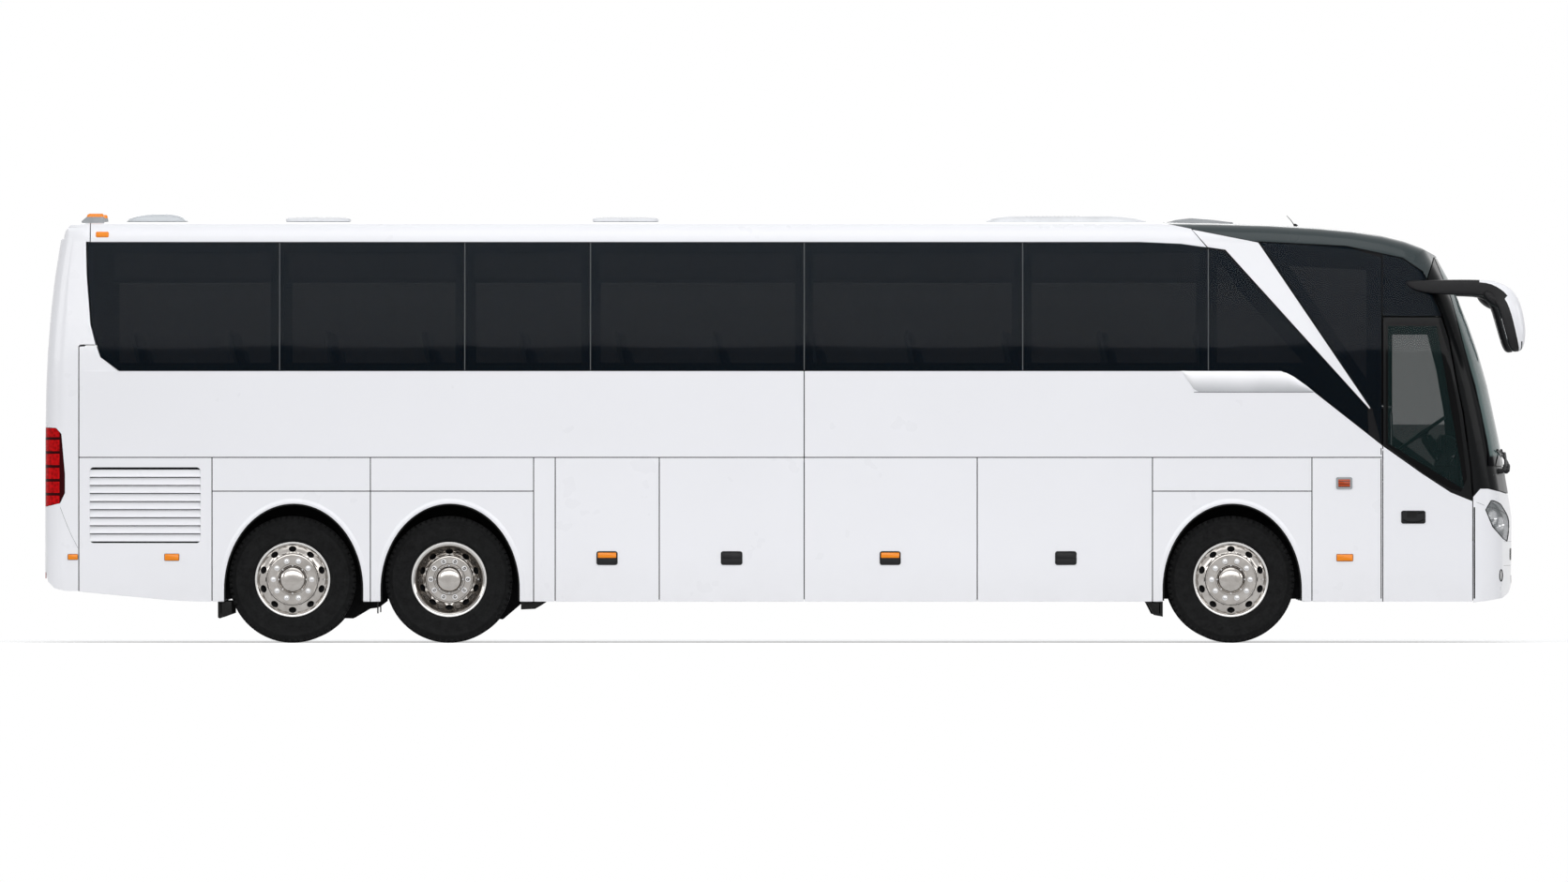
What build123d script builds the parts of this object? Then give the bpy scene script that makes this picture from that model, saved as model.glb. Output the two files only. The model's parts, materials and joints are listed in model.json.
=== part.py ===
from build123d import *

import os
from math import asin, cos, pi, radians, sin, sqrt

# A three-axle high-deck touring coach, built as an assembly of separate pieces.
# Millimetres, +X towards the nose, +Y towards the coach's left, +Z up. The origin is on the ground, midway
# between the tail and the tips of the mirrors. The passenger door is on the right, -Y.

# ---------------------------------------------------------------- driving dimensions
tail_x = -6270
nose_x = 6172
mirror_tip_x = 6268
half_width = 1275
roof_top = 3573
sill = 350
tail_sill = 445

# heights of the long seams in the side
wheel_panel_top = 1286
skirt_top = 1572
belt_top = 2303
glass_top = 3398

# seams across the side, from the tail to the nose
tail_seam = -5983
engine_bay_front = -4855
between_rear_wheels = -3514
drive_bay_front = -2132
hold_rear = -1949
hold_seams = (-1068, 159, 1624)
hold_front = 3108
front_bay_front = 4458
door_rear = 5058
door_front = 5820
door_top = 2763

seam = 8
skin_gap = 0.3
panel_thick = 30
flap_thick = panel_thick - skin_gap
shell_thick = 40
glass_thick = 12
frame_thick = 60
proud = 8

# wheels and axles
front_axle_x = 3773
drive_axle_x = -2849
tag_axle_x = -4174
tyre_radius = 538
tyre_width = 300
bead_radius = 288
rim_flange_radius = 318
rim_width = 262
single_wheel_y = 1040
drive_outer_y = 1055
twin_spacing = 345
kingpin_y = 915
kingpin_radius = 30
spindle_radius = 60
running_gap = 0.05
arch_half = 590
arch_top = 1180
arch_centre_z = 450
arch_forward = 10

# decks
floor_top = 1600
floor_thick = 70
platform_top = 1050
platform_thick = 60
hold_floor_top = 420
hold_floor_thick = 50

wide = 1600  # half-length of a cut that runs right across the coach
high = 3800  # above everything

os.makedirs("parts", exist_ok=True)


def save(part, name):
    """Labels a finished piece and writes it as its own node."""
    part.label = name
    export_step(part, f"parts/{name}.step")


# ---------------------------------------------------------------- outer form
# Plan sections of the body: height, half width, nose, tail.
PLAN = (
    (280, half_width, nose_x - 7, tail_x),
    (1060, half_width, nose_x, tail_x),
    (1300, half_width, nose_x - 35, tail_x),
    (1730, half_width, nose_x - 110, tail_x + 1),
    (2180, half_width - 2, nose_x - 206, tail_x + 9),
    (2450, half_width - 9, nose_x - 282, tail_x + 21),
    (2700, half_width - 22, nose_x - 368, tail_x + 39),
    (2900, half_width - 34, nose_x - 448, tail_x + 58),
    (3100, half_width - 46, nose_x - 545, tail_x + 82),
    (3300, half_width - 59, nose_x - 654, tail_x + 113),
    (3500, half_width - 72, nose_x - 775, tail_x + 146),
    (3700, half_width - 85, nose_x - 910, tail_x + 180),
)
# Roof line: station along the coach, height of the crown.
ROOF = (
    (2600, roof_top),
    (3100, roof_top - 2),
    (3600, roof_top - 9),
    (4100, roof_top - 23),
    (4500, roof_top - 46),
    (4800, roof_top - 74),
    (5050, roof_top - 114),
    (5250, roof_top - 165),
    (5400, roof_top - 221),
    (5520, roof_top - 288),
    (5640, roof_top - 383),
    (5760, roof_top - 503),
    (5900, roof_top - 673),
)
nose_radius = 6500
front_corner = 240
rear_corner = 180
cove_radius = 190
crown_rise = 14
tail_top_radius = 150
cove_half_width = 1212
side_lean = 0.062  # how far the side leans in, per unit of height, above the belt
side_flare = 0.082  # lean of the roof form's own sides, which keeps them clear of the plan form


def plan_section(half, nose, tail, inset):
    """One plan section as a closed wire: flat sides, a bowed nose and round corners."""
    half, nose, tail = half - inset, nose - inset, tail + inset
    bow, front, rear = nose_radius - inset, front_corner - inset / 2, rear_corner - inset / 2
    corner_x = nose - bow + sqrt((bow - front) ** 2 - (half - front) ** 2)
    turn = asin((half - front) / (bow - front))
    join = (nose - bow + bow * cos(turn), bow * sin(turn))
    middle = turn / 2 + pi / 4
    mid = (corner_x + front * cos(middle), half - front + front * sin(middle))
    back_off = rear * (1 - 1 / sqrt(2))
    with BuildLine() as outline:
        Line((tail + rear, -half), (corner_x, -half))
        ThreePointArc((corner_x, -half), (mid[0], -mid[1]), (join[0], -join[1]))
        ThreePointArc((join[0], -join[1]), (nose, 0), join)
        ThreePointArc(join, mid, (corner_x, half))
        Line((corner_x, half), (tail + rear, half))
        ThreePointArc((tail + rear, half), (tail + back_off, half - back_off), (tail, half - rear))
        Line((tail, half - rear), (tail, -half + rear))
        ThreePointArc((tail, -half + rear), (tail + back_off, -half + back_off), (tail + rear, -half))
    make_face(outline.edges())


def roof_section(top, inset):
    """One cross-section under the roof line: a crowned top and a cove down to each side."""
    top, cove = top - inset, cove_radius - inset / 2
    half = cove_half_width - inset + (roof_top - 223 - top - inset) * side_lean
    edge = top - crown_rise
    off = cove * (1 - 1 / sqrt(2))
    foot = half + (edge - cove - 200) * side_flare
    with BuildLine() as outline:
        Line((-foot, 200), (foot, 200))
        Line((foot, 200), (half, edge - cove))
        ThreePointArc((half, edge - cove), (half - off, edge - off), (half - cove, edge))
        ThreePointArc((half - cove, edge), (0, top), (-half + cove, edge))
        ThreePointArc((-half + cove, edge), (-half + off, edge - off), (-half, edge - cove))
        Line((-half, edge - cove), (-foot, 200))
    make_face(outline.edges())


def make_form(inset):
    """The whole body as one solid, drawn in by inset on every side."""
    with BuildPart() as roof:
        for station, top in ROOF:
            with BuildSketch(Plane.YZ.offset(station)):
                roof_section(top, inset)
        loft(ruled=True)
        with BuildSketch(Plane.YZ.offset(ROOF[0][0])):
            roof_section(ROOF[0][1], inset)
        extrude(amount=-9300)
        with BuildSketch(Plane.YZ.offset(ROOF[-1][0])):
            roof_section(ROOF[-1][1], inset)
        extrude(amount=500)
    with BuildPart() as form:
        for height, half, nose, tail in PLAN:
            with BuildSketch(Plane.XY.offset(height)):
                plan_section(half, nose, tail, inset)
        loft(ruled=True)
        add(roof.part, mode=Mode.INTERSECT)
        # the round of the tail's top edge
        edge_x, edge_z, radius = tail_x + 160 + inset, roof_top - inset, tail_top_radius - inset / 2
        off = radius * (1 - 1 / sqrt(2))
        with BuildSketch(Plane.XZ):
            with BuildLine():
                Polyline((edge_x - 400, edge_z - radius), (edge_x, edge_z - radius))
                ThreePointArc((edge_x, edge_z - radius), (edge_x + off, edge_z - off),
                              (edge_x + radius, edge_z))
                Polyline((edge_x + radius, edge_z), (edge_x + radius, high), (edge_x - 400, high),
                         (edge_x - 400, edge_z - radius))
            make_face()
        extrude(amount=wide, both=True, mode=Mode.SUBTRACT)
    return form.part


FORM = {inset: make_form(inset) for inset in (
    -proud, 0, glass_thick, glass_thick + skin_gap, shell_thick, shell_thick + skin_gap, frame_thick)}


# ---------------------------------------------------------------- outlines seen from the side (X, Z)
def shifted(points, dx=0, dz=0):
    return [(x + dx, z + dz) for x, z in points]


# rear edge of the side glass, from the belt up
GLASS_TAIL = [(-5640, belt_top), (-5800, 2420), (-5880, 2700), (-5912, 3120), (-5918, glass_top)]
# top edge of the side glass, tail to nose, down to where the white blade starts
GLASS_TOP = [(-5918, glass_top), (3000, glass_top), (3344, 3383), (3571, 3350)]
# the blade's two long edges, from the roof down to its tip
BLADE_INNER = [(3571, 3350), (3722, 3328), (4955, 1985)]
BLADE_OUTER = [(3442, 3509), (4008, 3398), (4955, 1985)]
# lower edge of the dark roof cap, tail to nose
CAP_EDGE = [(3212, 3559), (3442, 3509), (3950, 3406), (4750, 3366), (5230, 3265), (5400, 3150), (5430, 3085)]
# the top of the white belt panels
BELT_EDGE = [(4200, belt_top), (4472, 2128), (5054, 1671)]
# the line between white and black across the door, and the door's own front edge
DOOR_SPLIT = [(5054, 1671), (5391, 1432), (5633, 1274), (5816, 1201)]
DOOR_NOSE_EDGE = [(5560, door_top), (5616, 2577), (5673, 2259), (5736, 1953), (5800, 1477), (5820, 1215),
                  (5820, sill)]
# the window in the door
DOOR_GLASS = [(5107, 2691), (5520, 2691), (5570, 2509), (5679, 1953), (5745, 1400), (5700, 1310),
              (5634, 1334), (5441, 1445), (5107, 1693)]
# rear edge of the windscreen, top to bottom
SCREEN_EDGE = [(5505, 3262), (5640, 2922), (5697, 2700), (5766, 2430), (5888, 1953), (5943, 1628),
               (5950, 1500)]
# top edge of the white nose
MASK_EDGE = [(5824, 1240), (5884, 1306), (5951, 1306), (6060, 1279), (6240, 1212)]
screen_bottom = 1500
screen_top = 3262


def side_prism(points, near=500, far=wide, radius=None):
    """A prism through the coach's right side with this side-view outline."""
    with BuildPart() as prism:
        with BuildSketch(Plane.XZ.offset(near)):
            with BuildLine():
                if radius:
                    FilletPolyline(*points, radius=radius, close=True)
                else:
                    Polyline(*points, close=True)
            make_face()
        extrude(amount=far - near)
    return prism.part


def skin(points, outer, inner, near=500, cuts=(), radius=None):
    """The part of the body's wall between two depths that lies inside a side-view outline, on the right."""
    with BuildPart() as piece:
        add(side_prism(points, near, radius=radius))
        add(FORM[outer], mode=Mode.INTERSECT)
        add(FORM[inner], mode=Mode.SUBTRACT)
        for cut in cuts:
            add(cut, mode=Mode.SUBTRACT)
    return piece.part


def both_sides(*pieces):
    """The pieces and their mirror images on the left, as one part."""
    with BuildPart() as pair:
        for piece in pieces:
            add(piece)
        mirror(about=Plane.XZ)
    return pair.part


def gather(*pieces):
    with BuildPart() as group:
        for piece in pieces:
            add(piece)
    return group.part


def slab(x0, x1, y0, y1, z0, z1):
    """A block by its corners."""
    with BuildPart() as block:
        with Locations(((x0 + x1) / 2, (y0 + y1) / 2, (z0 + z1) / 2)):
            Box(abs(x1 - x0), abs(y1 - y0), abs(z1 - z0))
    return block.part


def side_panel(x0, x1, z0, z1, thick=panel_thick):
    """A flat panel in the right side, drawn in by half a seam all round."""
    half = seam / 2
    return slab(x0 + half, x1 - half, -half_width, -half_width + thick, z0 + half, z1 - half)


# ---------------------------------------------------------------- lower side panels
def wheel_arch(axle_x):
    """The cut for one wheel: the upper half of an ellipse with straight legs to the sill."""
    centre = axle_x + arch_forward
    with BuildPart() as arch:
        with BuildSketch(Plane.XZ.offset(half_width - 200)):
            with Locations((centre, arch_centre_z)):
                Ellipse(arch_half, arch_top - arch_centre_z)
            with Locations((centre, arch_centre_z - 250)):
                Rectangle(2 * arch_half, 500)
            with Locations((centre, sill - 300)):
                Rectangle(3 * arch_half, 540, mode=Mode.SUBTRACT)
        extrude(amount=400)
    return arch.part


# rear edge, front edge and axle of the panels over the wheels
WHEEL_BAYS = (
    (engine_bay_front, between_rear_wheels, tag_axle_x),
    (between_rear_wheels, drive_bay_front, drive_axle_x),
    (hold_front, front_bay_front, front_axle_x),
)
arch_pieces, plain_pieces = [], []
for bay_rear, bay_front, axle_x in WHEEL_BAYS:
    with BuildPart() as arch_panel:
        add(side_panel(bay_rear, bay_front, sill - seam / 2, wheel_panel_top))
        add(wheel_arch(axle_x), mode=Mode.SUBTRACT)
    arch_pieces.append(arch_panel.part)
    plain_pieces.append(side_panel(bay_rear, bay_front, wheel_panel_top, skirt_top))
plain_pieces.append(side_panel(drive_bay_front, hold_rear, sill - seam / 2, skirt_top))
plain_pieces.append(side_panel(front_bay_front, door_rear, sill - seam / 2, skirt_top))
driver_panel = skin(
    [(door_rear, sill), (5816, sill), (5816, 1197), (5633, 1266), (5391, 1424), (door_rear, 1660)],
    0, shell_thick, 700)
with BuildPart() as side_panels:
    add(both_sides(*arch_pieces, *plain_pieces))
    add(driver_panel.mirror(Plane.XZ))
save(side_panels.part, "side_panels")

# ---------------------------------------------------------------- belt panels, side glass and pillars
belt_rear = side_panel(tail_seam, hold_seams[1], skirt_top, belt_top + seam / 2)
with BuildPart() as belt_front_panel:
    add(side_panel(hold_seams[1], door_rear, skirt_top, belt_top + seam / 2))
    add(side_prism(BELT_EDGE + [(5400, 1400), (5400, belt_top + 60), (4200, belt_top + 60)], 1000),
        mode=Mode.SUBTRACT)
corner_filler = skin(
    [(tail_seam + 4, belt_top), (-5648, belt_top), GLASS_TAIL[1], (-5836, 2520), (tail_seam + 4, 2510)],
    0, shell_thick)
save(both_sides(belt_rear, belt_front_panel.part, corner_filler), "belt_panels")

# the panes between the pillars, rear to front
PANE_SEAMS = (-4283, -2715, -1651, 159, 2009, 3581)
GLASS_LOW = belt_top + seam / 2
panes = [skin(
    [(-5632, GLASS_LOW), (-5792, 2424), (-5872, 2702), (-5904, 3120), (-5908, glass_top - 5),
     (PANE_SEAMS[0] - seam / 2, glass_top - 5), (PANE_SEAMS[0] - seam / 2, GLASS_LOW)], 0, glass_thick)]
for pane_rear, pane_front in zip(PANE_SEAMS[:4], PANE_SEAMS[1:5]):
    panes.append(skin(
        [(pane_rear + seam / 2, GLASS_LOW), (pane_front - seam / 2, GLASS_LOW),
         (pane_front - seam / 2, glass_top - 5), (pane_rear + seam / 2, glass_top - 5)], 0, glass_thick))
panes.append(skin(
    [(2013, GLASS_LOW), (3577, GLASS_LOW), (3577, 3344), (3344, 3378), (3000, glass_top - 5),
     (2013, glass_top - 5)], 0, glass_thick))
# behind the blade, ahead of the blade, and over the door
panes.append(skin(
    [(3585, GLASS_LOW), (4203, GLASS_LOW), (4477, 2135), (4938, 1777), (4926, 2002), (3718, 3318),
     (3585, 3342)],
    0, glass_thick))
panes.append(skin(
    shifted([(4020, 3394), (4960, 1990)], 8) + [(5046, 1688)]
    + [(5046, door_top + 500), (4750, 3358), (4400, 3372)], 0, glass_thick))
panes.append(skin(
    [(5058, door_top + seam), (5552, door_top + seam), (5422, 3080), (5392, 3142), (5224, 3256),
     (5058, 3292)],
    0, glass_thick))

with BuildPart() as frame_cuts:
    for pane_rear, pane_front in zip((-5760,) + PANE_SEAMS[:5], PANE_SEAMS):
        add(side_prism([(pane_rear + 75, belt_top + 70), (pane_front - 75, belt_top + 70),
                        (pane_front - 75, glass_top - 90), (pane_rear + 75, glass_top - 90)]))
    add(side_prism([(3656, belt_top + 70), (4430, belt_top + 70), (3700, 3190), (3656, 3190)]))
    add(side_prism([(4250, 3210), (4960, 3170), (4960, 2180)]))
side_frame_outline = (
    GLASS_TAIL + GLASS_TOP[1:3] + [(3571, 3350), (3442, 3509)]
    + CAP_EDGE[2:] + [(5560, door_top + 4), (5050, door_top + 4), (5050, 1675)] + BELT_EDGE[1::-1])
side_frame = skin(side_frame_outline, glass_thick + skin_gap, frame_thick, 700, [frame_cuts.part])

blade = skin(
    [(3444, 3503), (4004, 3392), (4952, 1990), (4944, 1985), (3726, 3332), (3577, 3354)],
    -proud, glass_thick, 700)
save(both_sides(blade), "white_blades")

# ---------------------------------------------------------------- roof
HATCHES = (("roof_hatch_rear", -3970, 548), ("roof_hatch_front", -1358, 560))  # name, middle, length
hatch_half_width = 360
hatch_height = 40
coaming = 45

with BuildPart() as roof_skin:
    with BuildSketch(Plane.XZ):
        with BuildLine():
            Polyline(
                (-5884, high), (-5884, glass_top), (3000, glass_top), (3344, 3383), (3566, 3353),
                (3436, 3509), (3204, 3559), (3204, high), close=True)
        make_face()
    extrude(amount=wide, both=True)
    add(FORM[0], mode=Mode.INTERSECT)
    add(FORM[shell_thick], mode=Mode.SUBTRACT)
    for _, middle, length in HATCHES:
        with Locations((middle, 0, roof_top)):
            Box(length - 2 * coaming, 2 * (hatch_half_width - coaming), 300, mode=Mode.SUBTRACT)
save(roof_skin.part, "roof_skin")

with BuildPart() as roof_cap:
    with BuildSketch(Plane.XZ):
        with BuildLine():
            Polyline((3212, high), *CAP_EDGE[:-1], (5432, 3090), (5495, 3270), (6400, 3270), (6400, high),
                     close=True)
        make_face()
    extrude(amount=wide, both=True)
    add(FORM[0], mode=Mode.INTERSECT)
    add(FORM[shell_thick], mode=Mode.SUBTRACT)
save(roof_cap.part, "front_roof_cap")

for hatch_name, middle, length in HATCHES:
    with BuildPart() as hatch:
        with BuildSketch(Plane.XY.offset(roof_top + skin_gap)):
            with Locations((middle, 0)):
                RectangleRounded(length, 2 * hatch_half_width, 60)
        extrude(amount=hatch_height - 12)
        with BuildSketch(Plane.XY.offset(roof_top + skin_gap + hatch_height - 12)):
            with Locations((middle, 0)):
                RectangleRounded(length - 40, 2 * hatch_half_width - 40, 50)
        extrude(amount=12)
    save(hatch.part, hatch_name)


def roof_pod(x0, x1, half, rise, ends=0.35):
    """A long low housing on the roof whose two ends slope up."""
    run = (x1 - x0) * ends / 2
    with BuildPart() as pod:
        with BuildSketch(Plane.XZ):
            with BuildLine():
                Polyline((x0, roof_top - crown_rise), (x0, roof_top + 8), (x0 + run, roof_top + rise),
                         (x1 - run, roof_top + rise), (x1, roof_top + 8), (x1, roof_top - crown_rise),
                         close=True)
            make_face()
        extrude(amount=half, both=True)
        add(FORM[0], mode=Mode.SUBTRACT)
    return pod.part


save(gather(roof_pod(1719, 3061, 560, 46), roof_pod(-5586, -5086, 330, 68),
            roof_pod(3236, 3815, 300, 32, 0.8)),
     "roof_units")

# ---------------------------------------------------------------- tail
lamp_outline = [(-6400, 1835), (-6175, 1822), (-6130, 1770), (-6100, 1430), (-6100, 1270), (-6140, 1184),
                (-6400, 1120)]
rear_window = (1000, 2500, 3230)  # half width, bottom, top
engine_door_half = 820
engine_door_bottom = 640
engine_door_top = 1750
cap_outline = (
    [(-6700, sill), (-6400, tail_sill), (tail_seam - seam / 2, tail_sill - 5), (tail_seam - seam / 2, 2510)]
    + [(tail_seam + 10, 2528), (-5842, 2528)] + shifted(GLASS_TAIL[2:4], -6)
    + [(-5924, glass_top + 2), (-5892, glass_top + 2), (-5892, high), (-6700, high)])


def tail_block(half, bottom, top):
    """A cut through the tail wall."""
    return slab(tail_x - 200, tail_x + 400, -half, half, bottom, top)


lamp_recess = side_prism(lamp_outline, 1060)
with BuildPart() as tail_sweep:
    with BuildSketch(Plane.XZ):
        with BuildLine():
            Polyline((-6700, 0), (-6170, 0), (-5900, 0), (-5900, tail_sill - 15), (-6100, tail_sill - 4),
                     (-6190, 465), (-6245, 520), (-6262, 600), (-6700, 600), close=True)
        make_face()
    extrude(amount=wide, both=True)
with BuildPart() as tail_cap:
    with BuildSketch(Plane.XZ):
        with BuildLine():
            Polyline(*cap_outline, close=True)
        make_face()
    extrude(amount=wide, both=True)
    add(FORM[0], mode=Mode.INTERSECT)
    add(FORM[shell_thick], mode=Mode.SUBTRACT)
    add(tail_sweep.part, mode=Mode.SUBTRACT)
    add(tail_block(rear_window[0], rear_window[1], rear_window[2]), mode=Mode.SUBTRACT)
    add(tail_block(engine_door_half, engine_door_bottom, engine_door_top), mode=Mode.SUBTRACT)
    add(both_sides(lamp_recess), mode=Mode.SUBTRACT)
save(tail_cap.part, "rear_cap")

with BuildPart() as tail_glass:
    add(tail_block(rear_window[0] - skin_gap, rear_window[1] + skin_gap, rear_window[2] - skin_gap))
    add(FORM[0], mode=Mode.INTERSECT)
    add(FORM[glass_thick], mode=Mode.SUBTRACT)

with BuildPart() as engine_door:
    add(tail_block(engine_door_half - seam, engine_door_bottom + seam, engine_door_top - seam))
    add(FORM[0], mode=Mode.INTERSECT)
    add(FORM[shell_thick], mode=Mode.SUBTRACT)
save(engine_door.part, "engine_door")

lamp = skin(
    [(-6400, 1831), (-6177, 1818), (-6134, 1768), (-6104, 1430), (-6104, 1271), (-6142, 1188),
     (-6400, 1124)],
    0, shell_thick + skin_gap, 1064)
lamp_back = skin(
    [(-6400, 1845), (-6170, 1834), (-6120, 1775), (-6088, 1430), (-6088, 1270), (-6128, 1174),
     (-6400, 1110)],
    shell_thick + skin_gap, frame_thick, 1050)
save(both_sides(lamp, lamp_back), "tail_lamps")

# radiator doors in both sides, over the rising sill
for side, name in ((1, "radiator_door_right"), (-1, "radiator_door_left")):
    with BuildPart() as radiator_door:
        with BuildSketch(Plane.XZ.offset(side * half_width)):
            with BuildLine():
                Polyline(
                    (tail_seam + seam / 2, tail_sill - 10), (-5550, 395), (-5200, 362), (-5000, sill + 2),
                    (engine_bay_front - seam / 2, sill), (engine_bay_front - seam / 2, skirt_top - seam / 2),
                    (tail_seam + seam / 2, skirt_top - seam / 2), close=True)
            make_face()
        extrude(amount=-side * flap_thick)
    save(radiator_door.part, name)

# ---------------------------------------------------------------- luggage hold doors
hold_edges = (hold_rear,) + hold_seams + (hold_front,)
for number, (flap_rear, flap_front) in enumerate(zip(hold_edges, hold_edges[1:]), start=1):
    flap = side_panel(flap_rear, flap_front, sill - seam / 2, skirt_top, flap_thick)
    save(flap, f"luggage_door_right_{number}")
    with BuildPart() as mirrored_flap:
        add(flap)
        mirror(about=Plane.XZ, mode=Mode.REPLACE)
    save(mirrored_flap.part, f"luggage_door_left_{number}")

# ---------------------------------------------------------------- nose
half_gap = seam / 2
inside_door = (
    [(door_rear + half_gap, sill), (door_rear + half_gap, door_top - half_gap)]
    + shifted([(5557, door_top - half_gap)] + DOOR_NOSE_EDGE[1:-1], -half_gap) + [(5816, sill)])
door_window = side_prism(DOOR_GLASS)
glass_rebate = 25
door_pane_outline = [
    (5107 - glass_rebate, 2691 + glass_rebate), (5534, 2691 + glass_rebate), (5594, 2514), (5703, 1953),
    (5771, 1395), (5722, 1280), (5634, 1305), (5430, 1419), (5107 - glass_rebate, 1680)]
door_pane = skin(door_pane_outline, 0, glass_thick, 700)
pane_seat = skin(door_pane_outline, -proud, glass_thick + skin_gap, 700)
arm_pivot_x, arm_pivot_y, arm_reach = 5690, -1110, 450
arm_levels = (1130, 1480)
arm_bracket = 34


def bracket(level):
    """The door's own lug that takes an arm's end pin."""
    x = arm_pivot_x - arm_reach
    with BuildPart() as lug:
        with BuildSketch(Plane.XY.offset(level + 26)):
            with Locations((x, arm_pivot_y)):
                Circle(arm_bracket)
            with Locations((x, (arm_pivot_y - half_width + 30) / 2)):
                Rectangle(2 * arm_bracket, half_width + arm_pivot_y - 30)
            with Locations((x, arm_pivot_y)):
                Circle(12 + running_gap, mode=Mode.SUBTRACT)
        extrude(amount=20)
    return lug.part


with BuildPart() as entry_door:
    add(skin(inside_door, 0, shell_thick, 700, [door_window, pane_seat]))
    for level in arm_levels:
        add(bracket(level))
save(entry_door.part, "entry_door")
save(door_pane, "entry_door_glass")

# swing arm: an upright tube with two arms, and the pins that carry the door
post_radius = 24
with BuildPart() as door_arm:
    with Locations((arm_pivot_x, arm_pivot_y, 400 + skin_gap)):
        Cylinder(post_radius, 1220, align=(Align.CENTER, Align.CENTER, Align.MIN))
    for level in arm_levels:
        with Locations((arm_pivot_x - arm_reach / 2, arm_pivot_y, level)):
            Box(arm_reach, 36, 50)
        with Locations((arm_pivot_x - arm_reach, arm_pivot_y, level)):
            Cylinder(26, 50)
        with Locations((arm_pivot_x - arm_reach, arm_pivot_y, level + 36)):
            Cylinder(12, 24)
save(door_arm.part, "entry_door_arm")

nose_sweep = side_prism(
    [(5700, 200), (6500, 200), (6500, 620), (nose_x - 6, 600), (nose_x - 14, 470), (nose_x - 40, 420),
     (nose_x - 100, 380), (nose_x - 240, 355), (5800, 342)], -wide)
lamp_gap = 4


def lamp_body(gap):
    """The headlamp's outline from the side, met by its outline from the front, grown by a gap all round."""
    with BuildPart() as body:
        with BuildSketch(Plane.XZ.offset(500)):
            with BuildLine():
                Polyline((5930, 1128), (5975, 1205), (6040, 1212), (6120, 1160), (6400, 1100), (6400, 800),
                         (6150, 842), (6080, 885), (5990, 985), close=True)
            make_face()
            if gap:
                offset(amount=gap, kind=Kind.INTERSECTION)
        extrude(amount=1000)
        with BuildSketch(Plane.YZ.offset(5700)):
            with BuildLine():
                Polyline((-1500, 700), (-1040, 800), (-800, 868), (-690, 935), (-664, 985), (-690, 1030),
                         (-800, 1082), (-1000, 1140), (-1500, 1300), close=True)
            make_face()
            if gap:
                offset(amount=gap, kind=Kind.INTERSECTION)
        extrude(amount=700, mode=Mode.INTERSECT)
    return body.part


headlamp_seat = lamp_body(lamp_gap)
with BuildPart() as headlamp:
    add(lamp_body(0))
    add(FORM[0], mode=Mode.INTERSECT)
    add(FORM[shell_thick], mode=Mode.SUBTRACT)
with BuildPart() as front_mask:
    with BuildSketch(Plane.XZ):
        with BuildLine():
            Polyline((5824, sill - 8), (5824, 1236), *MASK_EDGE[1:-1], (6400, 1182), (6400, sill - 100),
                     close=True)
        make_face()
    extrude(amount=wide, both=True)
    add(FORM[0], mode=Mode.INTERSECT)
    add(FORM[shell_thick], mode=Mode.SUBTRACT)
    add(nose_sweep, mode=Mode.SUBTRACT)
    add(both_sides(headlamp_seat), mode=Mode.SUBTRACT)
save(front_mask.part, "front_mask")
save(both_sides(headlamp.part), "headlamps")

nose_frame_outline = (
    [(5433, 3082), (5497, 3266), (5700, 3266), (6400, 1186), (6060, 1283), (5951, 1310), (5884, 1310),
     (5828, 1248)]
    + [(5808, 1477), (5744, 1953), (5681, 2259), (5624, 2577), (5568, door_top)])
with BuildPart() as nose_frame:
    with BuildSketch(Plane.XZ):
        with BuildLine():
            Polyline(*nose_frame_outline, close=True)
        make_face()
    extrude(amount=wide, both=True)
    add(FORM[glass_thick + skin_gap], mode=Mode.INTERSECT)
    add(FORM[frame_thick], mode=Mode.SUBTRACT)
    with BuildSketch(Plane.XZ):
        with BuildLine():
            Polyline((5590, 3190), (5800, 3190), (6400, 3190), (6400, 1600), (6000, 1600), (5950, 1960),
                     (5850, 2450), (5790, 2700), (5690, 2942), close=True)
        make_face()
    extrude(amount=wide, both=True, mode=Mode.SUBTRACT)

with BuildPart() as windscreen:
    with BuildSketch(Plane.XZ):
        with BuildLine():
            Polyline(*shifted(SCREEN_EDGE, 6), (6400, screen_bottom), (6400, screen_top), close=True)
        make_face()
    extrude(amount=wide, both=True)
    add(FORM[0], mode=Mode.INTERSECT)
    add(FORM[glass_thick], mode=Mode.SUBTRACT)
save(windscreen.part, "windscreen")

with BuildPart() as nose_trim:
    with BuildSketch(Plane.XZ):
        with BuildLine():
            Polyline(
                (6400, screen_bottom - seam), (5938, screen_bottom - seam),
                *shifted(SCREEN_EDGE[::-1][1:], -2),
                (5442, 3092), (5574, door_top), (5630, 2577), (5687, 2259), (5750, 1953), (5814, 1477),
                (5832, 1254), (5880, 1314), (5953, 1314), (6062, 1287), (6400, 1190), close=True)
        make_face()
    extrude(amount=wide, both=True)
    add(FORM[0], mode=Mode.INTERSECT)
    add(FORM[glass_thick], mode=Mode.SUBTRACT)
save(nose_trim.part, "nose_trim")

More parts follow.
